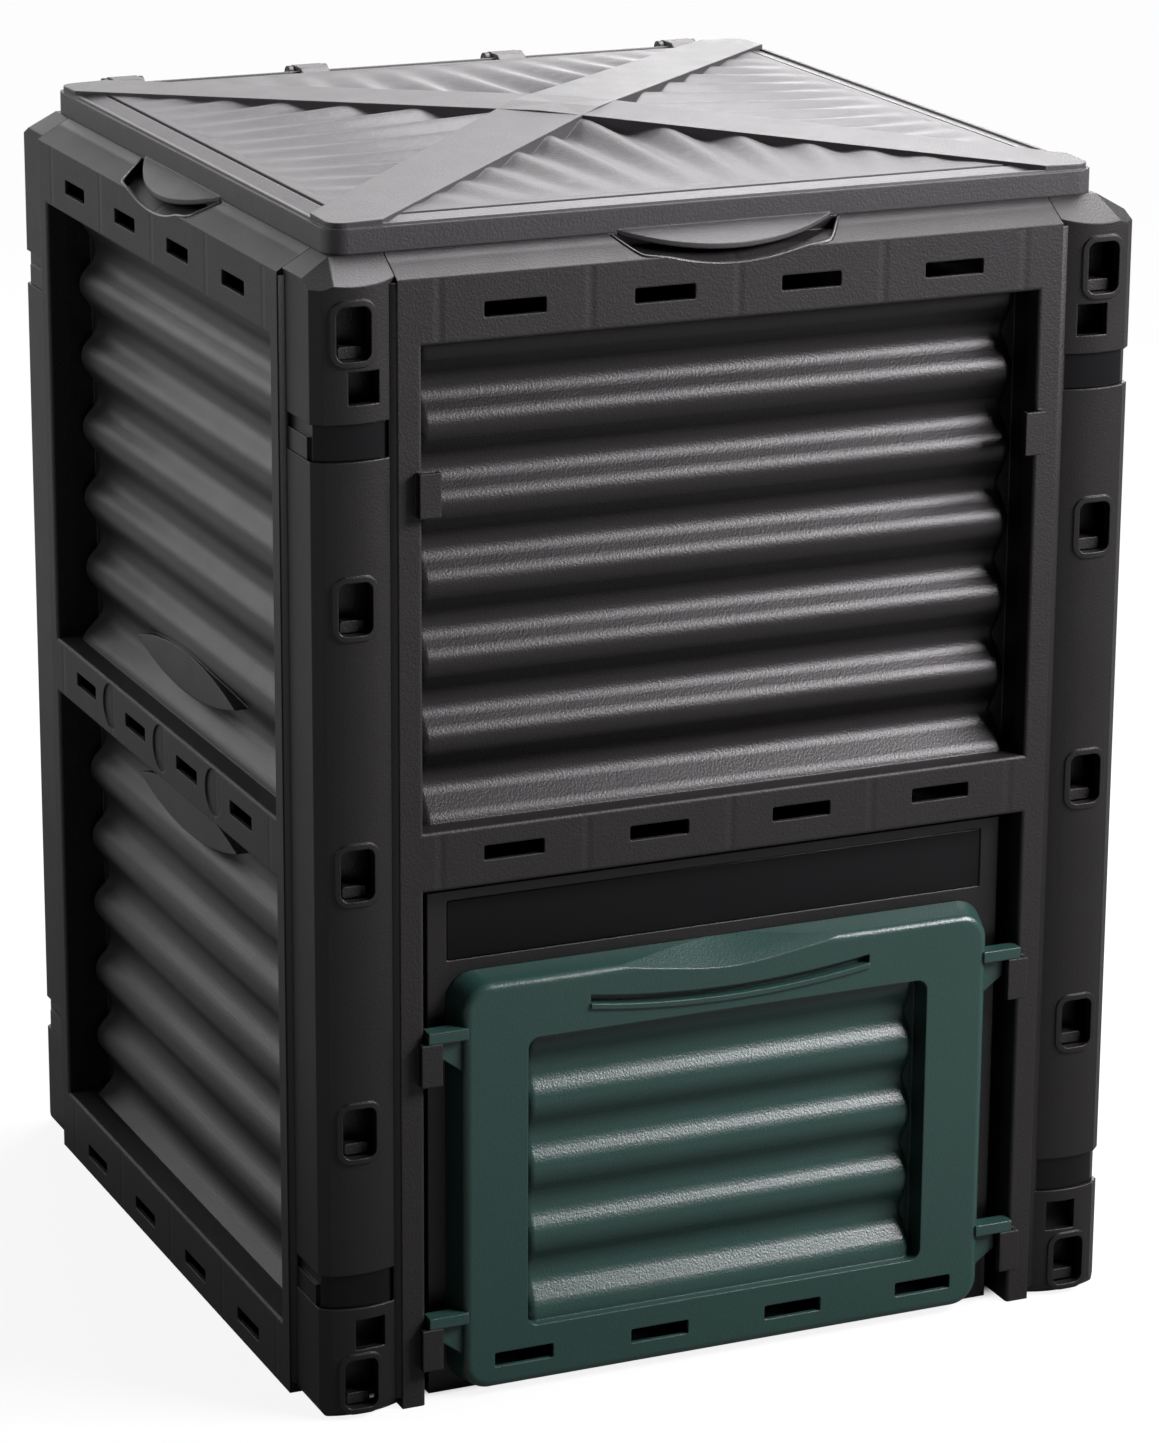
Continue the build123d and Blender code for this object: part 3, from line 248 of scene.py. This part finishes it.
@dataclass(frozen=True)
class MouldedPlastic:
    """Injection-moulded plastic with a fine leather-like grain and slightly uneven gloss."""

    name: str
    colour: Triple
    roughness: float
    specular: float = 0.5
    sheen_tint: Triple = (1.0, 0.95, 0.99)
    mottle: float = 0.12
    cloud: float = 90 * MM
    cloud_detail: float = 3.0
    cloud_share: float = 0.6
    rub: float = 35 * MM
    rub_detail: float = 4.0
    rub_range: tuple[float, float] = (0.25, 0.75)
    gloss_spread: float = 0.02
    grain: float = 1.6 * MM
    grain_detail: float = 2.0
    grain_depth: float = 0.20 * MM
    edge: float = 1.4 * MM
    edge_samples: int = 6
    sinks: SinkMarks | None = None
    coarse: CoarseFaces | None = None
    sharp: SharpZone | None = None

    def build(self) -> bpy.types.Material:
        """Builds the material.

        Returns:
            The finished material.
        """
        maker = NodeMaker(self.name)
        place = maker.add("ShaderNodeTexCoord").outputs["Object"]
        shader = maker.add("ShaderNodeBsdfPrincipled")
        output = maker.add("ShaderNodeOutputMaterial")
        maker.link(shader.outputs["BSDF"], output.inputs["Surface"])
        shader.inputs["Specular IOR Level"].default_value = self.specular
        shader.inputs["Specular Tint"].default_value = (*self.sheen_tint, 1.0)

        fine = maker.noise(place, self.grain, self.grain_detail)
        outer = self.coarse.add_to(maker, place) if self.coarse else None
        maker.link(self.tint(maker, place, fine), shader.inputs["Base Color"])
        maker.link(self.gloss(maker, place, outer), shader.inputs["Roughness"])
        bump = maker.add("ShaderNodeBump")
        bump.inputs["Strength"].default_value = 1.0
        bump.inputs["Distance"].default_value = 1.0
        maker.link(self.rounding(maker, place), bump.inputs["Normal"])
        maker.link(self.relief(maker, place, fine, outer), bump.inputs["Height"])
        maker.link(bump.outputs["Normal"], shader.inputs["Normal"])
        return maker.material

    def tint(self, maker: NodeMaker, place: Socket, fine: Socket) -> Socket:
        """Builds the slightly mottled colour.

        Args:
            maker: the material in the making.
            place: the object's coordinates.
            fine: the grain's pattern.

        Returns:
            The colour's socket.
        """
        clouds = maker.noise(place, self.cloud, self.cloud_detail)
        share = maker.math("ADD", maker.math("MULTIPLY", clouds, self.cloud_share),
                           maker.math("MULTIPLY", fine, 1 - self.cloud_share))
        blend = maker.add("ShaderNodeMix", data_type="RGBA")
        maker.link(share, blend.inputs["Factor"])
        blend.inputs["A"].default_value = (*[c * (1 - self.mottle) for c in self.colour], 1.0)
        blend.inputs["B"].default_value = (*[c * (1 + self.mottle) for c in self.colour], 1.0)
        return blend.outputs["Result"]

    def gloss(self, maker: NodeMaker, place: Socket, outer: Socket | None) -> Socket:
        """Builds the slightly uneven roughness.

        Args:
            maker: the material in the making.
            place: the object's coordinates.
            outer: the mask of the coarser faces, if the piece has them.

        Returns:
            The roughness socket.
        """
        rub = maker.noise(place, self.rub, self.rub_detail)
        gloss = maker.ramp(rub, *self.rub_range, self.roughness - self.gloss_spread,
                           self.roughness + self.gloss_spread)
        if outer is not None:
            gloss = maker.math("ADD", gloss, maker.math("MULTIPLY", outer, self.coarse.dulling))
        return gloss

    def relief(self, maker: NodeMaker, place: Socket, fine: Socket, outer: Socket | None) -> Socket:
        """Builds the height of grain and sink marks.

        Args:
            maker: the material in the making.
            place: the object's coordinates.
            fine: the grain's pattern.
            outer: the mask of the coarser faces, if the piece has them.

        Returns:
            A socket with the height in metres.
        """
        depth: object = self.grain_depth
        if outer is not None:
            depth = maker.ramp(outer, 0.0, 1.0, self.grain_depth, self.coarse.grain_depth)
        height = maker.math("MULTIPLY", fine, depth)
        if self.sinks:
            height = maker.math("ADD", height, self.sinks.add_to(maker, place))
        return height

    def rounding(self, maker: NodeMaker, place: Socket) -> Socket:
        """Builds the normal of slightly rounded edges.

        Args:
            maker: the material in the making.
            place: the object's coordinates.

        Returns:
            The normal's socket.
        """
        rounded = maker.add("ShaderNodeBevel", samples=self.edge_samples)
        rounded.inputs["Radius"].default_value = self.edge
        if not self.sharp:
            return rounded.outputs["Normal"]
        choice = maker.add("ShaderNodeMix", data_type="VECTOR")
        maker.link(self.sharp.add_to(maker, place), choice.inputs["Factor"])
        maker.link(rounded.outputs["Normal"], choice.inputs["A"])
        maker.link(maker.add("ShaderNodeNewGeometry").outputs["Normal"], choice.inputs["B"])
        return choice.outputs["Result"]


def dress(node: str, finish: bpy.types.Material) -> None:
    """Gives a CAD node its finish.

    Args:
        node: the node's name.
        finish: the material of the whole piece.
    """
    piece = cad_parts[node]
    piece.data.materials.clear()
    piece.data.materials.append(finish)
    LOG.info("%s: %s", node, finish.name)


def add_box(name: str, size: Triple | Vector, centre: Triple | Vector) -> bpy.types.Object:
    """Models a box with its place in its mesh.

    Args:
        name: the piece's name.
        size: its lengths along X, Y and Z.
        centre: its middle.

    Returns:
        The box, selected and active.
    """
    bpy.ops.object.select_all(action="DESELECT")
    bpy.ops.mesh.primitive_cube_add(size=1.0)
    box = bpy.context.object
    box.name = name
    box.scale = size
    box.location = centre
    bpy.ops.object.transform_apply(location=True, rotation=True, scale=True)
    return box


def round_edges(piece: bpy.types.Object, width: float, steps: int) -> None:
    """Rounds the edges of the active piece.

    Args:
        piece: the piece.
        width: width of the rounding.
        steps: faces across the rounding.
    """
    bevel = piece.modifiers.new("rounded_edges", "BEVEL")
    bevel.width = width
    bevel.segments = steps
    bpy.ops.object.modifier_apply(modifier=bevel.name)
    bpy.ops.object.shade_smooth_by_angle(angle=SMOOTH_ANGLE)


def turn_to_wall(piece: bpy.types.Object, turn: float) -> None:
    """Turns the active piece from the front, where it was modelled, to its wall.

    Args:
        piece: the piece.
        turn: angle about the bin's upright axis, in degrees.
    """
    piece.rotation_euler = (0.0, 0.0, math.radians(turn))
    piece.location = (0.0, SHELL_MIDDLE, 0.0)
    bpy.ops.object.transform_apply(location=True, rotation=True, scale=True)


def hand_over(piece: bpy.types.Object, finish: bpy.types.Material) -> None:
    """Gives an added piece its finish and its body.

    Args:
        piece: the piece.
        finish: its material.
    """
    piece.data.materials.clear()
    piece.data.materials.append(finish)
    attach(piece, BIN)
    LOG.info("%s: %d faces", piece.name, len(piece.data.polygons))


@dataclass
class LabelPlate:
    """Bare smooth plate in the label recess of the front wall."""

    half_width: float = 202.4 * MM
    low: float = 315.9 * MM
    high: float = 358.1 * MM
    back: float = -285.2 * MM
    thick: float = 0.9 * MM
    edge: float = 0.3 * MM
    edge_steps: int = 3

    def build(self, finish: bpy.types.Material) -> None:
        """Models the plate.

        Args:
            finish: the plate's material.
        """
        size = (2 * self.half_width, self.thick, self.high - self.low)
        plate = add_box("label_plate", size, (0.0, self.back - self.thick / 2, (self.low + self.high) / 2))
        round_edges(plate, self.edge, self.edge_steps)
        hand_over(plate, finish)


@dataclass
class ScoopLip:
    """Thin lip with a dipping upper edge, which closes a finger scoop at the wall's face."""

    half_width: float = 56 * MM
    dip_half: float = 53 * MM
    dip: float = 8.2 * MM
    low: float = 778.5 * MM
    high: float = 790 * MM
    front: float = -304.97 * MM
    thick: float = 3.2 * MM
    cutter_sides: int = 256
    cutter_depth: float = 12.8 * MM

    def build(self, name: str, turn: float, finish: bpy.types.Material) -> None:
        """Models the lip at the front and turns it to its wall.

        Args:
            name: the piece's name.
            turn: angle about the bin's upright axis, in degrees.
            finish: the wall's material.
        """
        radius = (self.dip_half ** 2 + self.dip ** 2) / (2 * self.dip)
        bpy.ops.object.select_all(action="DESELECT")
        bpy.ops.mesh.primitive_cylinder_add(
            vertices=self.cutter_sides,
            radius=radius,
            depth=self.cutter_depth,
            location=(0.0, self.front, self.high - self.dip + radius),
            rotation=(math.pi / 2, 0.0, 0.0),
        )
        cutter = bpy.context.object
        size = (2 * self.half_width, self.thick, self.high - self.low)
        lip = add_box(name, size, (0.0, self.front + self.thick / 2, (self.low + self.high) / 2))
        hollow = lip.modifiers.new("dipping_edge", "BOOLEAN")
        hollow.operation = "DIFFERENCE"
        hollow.solver = "EXACT"
        hollow.object = cutter
        bpy.ops.object.modifier_apply(modifier=hollow.name)
        bpy.data.objects.remove(cutter)
        turn_to_wall(lip, turn)
        bpy.ops.object.shade_smooth_by_angle(angle=SMOOTH_ANGLE)
        hand_over(lip, finish)


@dataclass
class ScoopBead:
    """Rounded bead round a finger scoop, along the lip and over the bevel to the lid's rim.

    The route is given in millimetres: its lowest point, and the half that rises to the right.
    """

    radius: float = 1.3 * MM
    lowest: Triple = (0.0, -303.65, 781.9)
    half: tuple[Triple, ...] = (
        (13.0, -303.65, 782.4), (26.0, -303.65, 783.8), (39.0, -303.65, 786.3), (50.0, -303.65, 789.1),
        (60.0, -303.4, 790.4), (69.0, -301.8, 791.6), (74.5, -295.0, 795.5), (79.0, -288.5, 799.3),
        (83.0, -282.5, 802.8),
    )
    order: int = 3
    steps_along: int = 6
    steps_round: int = 3

    def build(self, name: str, turn: float, finish: bpy.types.Material) -> None:
        """Models the bead at the front and turns it to its wall.

        Args:
            name: the piece's name.
            turn: angle about the bin's upright axis, in degrees.
            finish: the bead's material.
        """
        left = [(-x, y, z) for x, y, z in reversed(self.half)]
        route = [*left, self.lowest, *self.half]
        bpy.ops.object.select_all(action="DESELECT")
        bpy.ops.curve.primitive_nurbs_path_add()
        path = bpy.context.object
        path.name = name
        spline = path.data.splines[0]
        spline.points.add(len(route) - len(spline.points))
        for point, spot in zip(spline.points, route):
            point.co = (*[v * MM for v in spot], 1.0)
        spline.order_u = self.order
        spline.use_endpoint_u = True
        path.data.resolution_u = self.steps_along
        path.data.bevel_depth = self.radius
        path.data.bevel_resolution = self.steps_round
        path.data.use_fill_caps = True
        bpy.ops.object.convert(target="MESH")
        bead = bpy.context.object
        turn_to_wall(bead, turn)
        bpy.ops.object.shade_smooth()
        hand_over(bead, finish)


@dataclass(frozen=True)
class Strip:
    """An upright strip: two corners of its box, and how far the upright edge at the first is drawn back."""

    low: Triple
    high: Triple
    draw: Triple


@dataclass
class CornerStrips:
    """Upright strips at the four corners, which close the seams between walls and posts."""

    foot: float = 8 * MM
    head: float = 788 * MM
    face: float = -304.6 * MM
    back: float = -299.5 * MM
    across: tuple[float, float] = (-248.2 * MM, -242.6 * MM)
    across_draw: float = 1.65 * MM
    along: tuple[float, float] = (-255.2 * MM, -249.6 * MM)
    along_draw: float = 3.3 * MM
    edge: float = 0.4 * MM
    edge_steps: int = 2

    def sections(self) -> dict[str, Strip]:
        """Gives the two strips of the front left corner.

        Returns:
            Strips by the start of their names.
        """
        (left, right), (front, rear) = self.across, self.along
        return {
            "seam_across": Strip((left, self.face, self.foot), (right, self.back, self.head),
                                 (0.0, self.across_draw, 0.0)),
            "seam_along": Strip((self.face, front, self.foot), (self.back, rear, self.head),
                                (self.along_draw, 0.0, 0.0)),
        }

    def master(self, name: str, strip: Strip) -> bpy.types.Object:
        """Models a strip at the front left corner.

        Args:
            name: the piece's name.
            strip: its corners.

        Returns:
            The strip, with its place in its mesh.
        """
        low, high = Vector(strip.low), Vector(strip.high)
        piece = add_box(name, high - low, (low + high) / 2)
        bpy.ops.object.mode_set(mode="EDIT")
        bpy.ops.mesh.select_mode(type="VERT")
        bpy.ops.mesh.select_all(action="DESELECT")
        bpy.ops.object.mode_set(mode="OBJECT")
        for corner in piece.data.vertices:
            corner.select = (corner.co.xy - low.xy).length < TOUCH
        bpy.ops.object.mode_set(mode="EDIT")
        bpy.ops.transform.translate(value=strip.draw)
        bpy.ops.object.mode_set(mode="OBJECT")
        round_edges(piece, self.edge, self.edge_steps)
        return piece

    def place(self, piece: bpy.types.Object, corner: str) -> None:
        """Mirrors a strip to its corner, with its place in its mesh.

        Args:
            piece: the strip, as modelled at the front left.
            corner: the corner's name, row first.
        """
        row, column = corner.split("_")
        bpy.ops.object.select_all(action="DESELECT")
        piece.select_set(True)
        bpy.context.view_layer.objects.active = piece
        piece.scale = (-1.0 if column == "right" else 1.0, -1.0 if row == "rear" else 1.0, 1.0)
        piece.location = (0.0, SHELL_MIDDLE, 0.0)
        bpy.ops.object.transform_apply(location=True, rotation=True, scale=True)
        bpy.ops.object.mode_set(mode="EDIT")
        bpy.ops.mesh.select_all(action="SELECT")
        bpy.ops.mesh.normals_make_consistent(inside=False)
        bpy.ops.object.mode_set(mode="OBJECT")

    def build(self, corners: tuple[str, ...], finish: bpy.types.Material) -> None:
        """Models each strip once and copies it to the other corners.

        Args:
            corners: the corners' names.
            finish: the strips' material.
        """
        for kind, strip in self.sections().items():
            first = self.master(f"{kind}_{corners[0]}", strip)
            pieces = {corners[0]: first}
            for corner in corners[1:]:
                piece = first.copy()
                piece.data = first.data.copy()
                piece.name = f"{kind}_{corner}"
                bpy.context.collection.objects.link(piece)
                pieces[corner] = piece
            for corner, piece in pieces.items():
                self.place(piece, corner)
                hand_over(piece, finish)


@dataclass
class Shell:
    """The bin's fixed shell: four walls, four posts, eight locks and the hinge pins."""

    corners: tuple[str, ...] = ("front_left", "front_right", "rear_left", "rear_right")
    levels: tuple[str, ...] = ("lower", "upper")
    scoops: tuple[tuple[str, float], ...] = (("front", 0.0), ("left", -90.0), ("right", 90.0))
    pins: int = 4
    front_pitch: float = 107 * MM
    side_pitch: float = 111 * MM
    rails: tuple[tuple[float, float], ...] = ((4 * MM, 46 * MM), (374 * MM, 412 * MM), (747 * MM, 789 * MM))
    wall_colour: Triple = (0.0060, 0.0052, 0.0056)
    wall_roughness: float = 0.40
    # painted shade: the posts take the walls' black plastic set darker, so their fronts read darker than the
    # walls
    post_painted_shade_colour: Triple = (0.0042, 0.0037, 0.0040)
    post_roughness: float = 0.46
    post_specular: float = 0.42
    lock_colour: Triple = (0.0028, 0.0028, 0.0034)
    lock_roughness: float = 0.30
    lock_specular: float = 0.22
    lock_grain: float = 0.02 * MM
    bead_roughness: float = 0.33
    bead_specular: float = 0.65
    bead_grain: float = 0.05 * MM
    plate: LabelPlate = field(default_factory=LabelPlate)
    lip: ScoopLip = field(default_factory=ScoopLip)
    bead: ScoopBead = field(default_factory=ScoopBead)
    strips: CornerStrips = field(default_factory=CornerStrips)

    def wall_finish(self, name: str, rails: Rail, pitch: float) -> bpy.types.Material:
        """Makes a wall's plastic.

        Args:
            name: the material's name.
            rails: which way its rails run.
            pitch: distance of the ribs behind them.

        Returns:
            The material.
        """
        sinks = SinkMarks(rails, pitch, self.rails)
        return MouldedPlastic(name, self.wall_colour, self.wall_roughness, sinks=sinks,
                              coarse=CoarseFaces(), sharp=SharpZone(rails)).build()

    def build(self) -> None:
        """Dresses walls, posts, locks and pins, and adds the label plate, lips, beads and strips."""
        across = self.wall_finish("wall_plastic_front", Rail.ALONG_X, self.front_pitch)
        along = self.wall_finish("wall_plastic_side", Rail.ALONG_Y, self.side_pitch)
        # the posts' plastic carries painted shade in its darker colour
        post = MouldedPlastic("post_plastic", self.post_painted_shade_colour, self.post_roughness,
                              specular=self.post_specular).build()
        smooth = MouldedPlastic("lock_plastic", self.lock_colour, self.lock_roughness,
                                specular=self.lock_specular, grain_depth=self.lock_grain).build()
        bead = MouldedPlastic("bead_plastic", self.wall_colour, self.bead_roughness,
                              specular=self.bead_specular, grain_depth=self.bead_grain).build()
        walls = {"front": across, "rear": across, "left": along, "right": along}
        for wall, finish in walls.items():
            dress(f"{wall}_wall", finish)
        for corner in self.corners:
            dress(f"corner_post_{corner}", post)
            for level in self.levels:
                dress(f"corner_lock_{corner}_{level}", smooth)
        for number in range(1, self.pins + 1):
            dress(f"lid_hinge_pin_{number}", smooth)
        self.plate.build(smooth)
        for wall, turn in self.scoops:
            self.lip.build(f"scoop_lip_{wall}", turn, walls[wall])
            self.bead.build(f"scoop_bead_{wall}", turn, bead)
        # the corner strips take the posts' darker plastic, with its painted shade
        self.strips.build(self.corners, post)


@dataclass
class Lid:
    """The hinged lid."""

    # painted sheen: the lid's plastic is set several times lighter than the walls' black plastic, so its top
    # reads as lit
    colour: Triple = (0.030, 0.028, 0.030)
    roughness: float = 0.48
    specular: float = 0.55
    grain_depth: float = 0.28 * MM

    def build(self) -> None:
        """Dresses the lid."""
        finish = MouldedPlastic("lid_plastic", self.colour, self.roughness, specular=self.specular,
                                grain_depth=self.grain_depth)
        dress("lid", finish.build())


@dataclass
class Door:
    """The lift-off door over the removal hatch."""

    colour: Triple = (0.017, 0.047, 0.040)
    roughness: float = 0.33

    def build(self) -> None:
        """Dresses the door."""
        finish = MouldedPlastic("door_plastic", self.colour, self.roughness)
        dress("door", finish.build())


@dataclass
class Stage:
    """White sweep under and behind the bin."""

    reach: float = 14.0
    wall: float = 12.0
    height: float = 9.0
    sweep: float = 4.0
    steps: int = 12
    dark_foot: float = 0.7       # glow and mirrored glow rise from here
    bright_reach: float = 2.5    # up to here
    glow_near: float = 0.88
    glow_far: float = 0.98
    # painted reflection: the paper's glow in reflections, faint near the bin and stronger farther out, gives
    # the bin's upper faces a sheen that fades towards its foot
    mirror_near: float = 0.04
    mirror_far: float = 0.45
    inside: float = 0.27         # no glow under the bin, as far out as this
    footprint: float = 0.295     # full glow from here
    paper_tone: float = 0.85
    bounce: float = 0.15

    def build(self) -> None:
        """Models the sweep: a plane whose rear edge is drawn up in an arc."""
        edge = self.wall - self.sweep
        depth = edge + self.reach
        bpy.ops.object.select_all(action="DESELECT")
        bpy.ops.mesh.primitive_plane_add(size=1.0)
        sweep = bpy.context.object
        sweep.name = "sweep"
        sweep.scale = (2 * self.reach, depth, 1.0)
        sweep.location = (0.0, edge - depth / 2, 0.0)
        bpy.ops.object.transform_apply(location=True, rotation=True, scale=True)
        bpy.ops.object.mode_set(mode="EDIT")
        bpy.ops.mesh.select_all(action="DESELECT")
        bpy.ops.object.mode_set(mode="OBJECT")
        for line in sweep.data.edges:
            ends = [sweep.data.vertices[k].co.y for k in line.vertices]
            line.select = all(abs(y - edge) < TOUCH for y in ends)
        bpy.ops.object.mode_set(mode="EDIT")
        bpy.ops.mesh.select_mode(type="EDGE")
        length = self.sweep * math.pi / 2 / self.steps
        for step in range(self.steps):
            turn = math.pi / 2 * (step + 0.5) / self.steps
            move = (0.0, math.cos(turn) * length, math.sin(turn) * length)
            bpy.ops.mesh.extrude_region_move(TRANSFORM_OT_translate={"value": move})
        bpy.ops.mesh.extrude_region_move(TRANSFORM_OT_translate={"value": (0.0, 0.0, self.height)})
        bpy.ops.mesh.select_all(action="SELECT")
        bpy.ops.mesh.normals_make_consistent(inside=False)
        bpy.ops.object.mode_set(mode="OBJECT")
        bpy.ops.object.shade_smooth()
        sweep.data.materials.append(self.paper())

    def paper(self) -> bpy.types.Material:
        """Makes the white paper, which shows white, keeps a soft shadow, and glows in reflections more
        strongly farther from the bin, a painted reflection that gives the bin's upper faces more sheen than
        its foot.

        Returns:
            The material.
        """
        maker = NodeMaker("white_paper")
        path = maker.add("ShaderNodeLightPath").outputs
        place = maker.add("ShaderNodeTexCoord").outputs["Object"]
        length = maker.add("ShaderNodeVectorMath", operation="LENGTH")
        maker.link(place, length.inputs["Vector"])
        away = length.outputs["Value"]
        # painted reflection: glossy rays see the paper glow, more strongly farther from the bin, so the
        # bin's upper faces shine and its foot stays dark
        reflected_glow = maker.ramp(away, self.dark_foot, self.bright_reach, self.mirror_near, self.mirror_far)
        mirrored = maker.math("MULTIPLY", path["Is Glossy Ray"], reflected_glow)
        seen = maker.math("MAXIMUM", path["Is Camera Ray"], mirrored)
        seen = maker.math("MAXIMUM", seen, path["Is Transmission Ray"])
        outside = maker.ramp(maker.outward(place), self.inside, self.footprint, 0.0, 1.0)
        glow = maker.ramp(away, self.dark_foot, self.bright_reach, self.glow_near, self.glow_far)
        lit = maker.add("ShaderNodeBsdfDiffuse")
        tone = maker.ramp(path["Is Camera Ray"], 0.0, 1.0, self.bounce, self.paper_tone)
        maker.link(tone, lit.inputs["Color"])
        white = maker.add("ShaderNodeEmission")
        white.inputs["Color"].default_value = WHITE
        mix = maker.add("ShaderNodeMixShader")
        factor, plain, glowing = mix.inputs
        maker.link(maker.math("MULTIPLY", maker.math("MULTIPLY", seen, outside), glow), factor)
        maker.link(lit.outputs["BSDF"], plain)
        maker.link(white.outputs["Emission"], glowing)
        output = maker.add("ShaderNodeOutputMaterial")
        maker.link(mix.outputs["Shader"], output.inputs["Surface"])
        return maker.material


@dataclass(frozen=True)
class Softbox:
    """A large soft studio light."""

    name: str
    place: Triple
    aim: Triple
    size: tuple[float, float]
    power: float

    def build(self) -> None:
        """Hangs the light and turns it to its aim."""
        bpy.ops.object.select_all(action="DESELECT")
        bpy.ops.object.light_add(type="AREA", location=self.place)
        box = bpy.context.object
        box.name = self.name
        box.data.shape = "RECTANGLE"
        box.data.size, box.data.size_y = self.size
        box.data.energy = self.power
        box.rotation_euler = (Vector(self.aim) - Vector(self.place)).to_track_quat("-Z", "Y").to_euler()


@dataclass
class Studio:
    """Soft lights and the dim room around them."""

    room: float = 0.05
    boxes: tuple[Softbox, ...] = (
        Softbox("front_box", (1.60, -1.45, 1.75), (0.1, -0.3, 0.55), (1.3, 0.9), 122.0),
        Softbox("top_box", (0.65, 0.45, 2.25), (0.0, -0.1, 0.8), (1.2, 1.7), 74.0),
        Softbox("back_box", (0.6, 3.3, 1.5), (0.0, 0.0, 0.8), (3.4, 2.0), 40.0),
        Softbox("side_box", (-1.6, 2.2, 1.6), (-0.3, 0.0, 0.5), (1.2, 1.4), 8.0),
        Softbox("rear_box", (1.7, 2.4, 0.7), (0.1, 0.3, 0.45), (1.2, 0.7), 34.0),
        Softbox("left_box", (-2.5, 0.6, 1.7), (-0.3, 0.0, 0.5), (1.4, 1.2), 32.0),
    )

    def build(self) -> None:
        """Hangs the lights and sets the room."""
        for box in self.boxes:
            box.build()
        world = bpy.data.worlds.new("room")
        world.use_nodes = True
        background = world.node_tree.nodes["Background"]
        background.inputs["Color"].default_value = WHITE
        background.inputs["Strength"].default_value = self.room
        bpy.context.scene.world = world
        bpy.context.scene.view_settings.view_transform = "Standard"


@dataclass(frozen=True)
class PhotoCamera:
    """The photograph's view, for an image of 1159 by 1443 pixels, with angles in degrees."""

    azimuth: float = -23.812
    elevation: float = 17.162
    roll: float = 0.355
    distance: float = 3.7417
    target: Triple = (0.0247, SHELL_MIDDLE, 0.3716)
    lens: float = 126.43
    sensor: float = 36.0
    shift: tuple[float, float] = (-0.00333, 0.00402)

    def build(self) -> None:
        """Sets up the camera."""
        turn, rise, roll = (math.radians(v) for v in (self.azimuth, self.elevation, self.roll))
        back = Vector((math.sin(turn) * math.cos(rise), -math.cos(turn) * math.cos(rise), math.sin(rise)))
        level = Vector((0.0, 0.0, 1.0)).cross(back).normalized()
        upright = back.cross(level)
        right = level * math.cos(roll) + upright * math.sin(roll)
        up = upright * math.cos(roll) - level * math.sin(roll)
        spot = Vector(self.target) + back * self.distance
        bpy.ops.object.camera_add()
        camera = bpy.context.object
        camera.matrix_world = Matrix((
            (right.x, up.x, back.x, spot.x),
            (right.y, up.y, back.y, spot.y),
            (right.z, up.z, back.z, spot.z),
            (0.0, 0.0, 0.0, 1.0),
        ))
        camera.data.lens = self.lens
        camera.data.sensor_width = self.sensor
        camera.data.shift_x, camera.data.shift_y = self.shift
        bpy.context.scene.camera = camera


def main() -> None:
    """Builds the looks in order and reports each piece."""
    logging.basicConfig(level=logging.INFO)
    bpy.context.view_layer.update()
    Shell().build()
    Lid().build()
    Door().build()
    Stage().build()
    Studio().build()
    PhotoCamera().build()


if __name__ == "__main__":
    main()
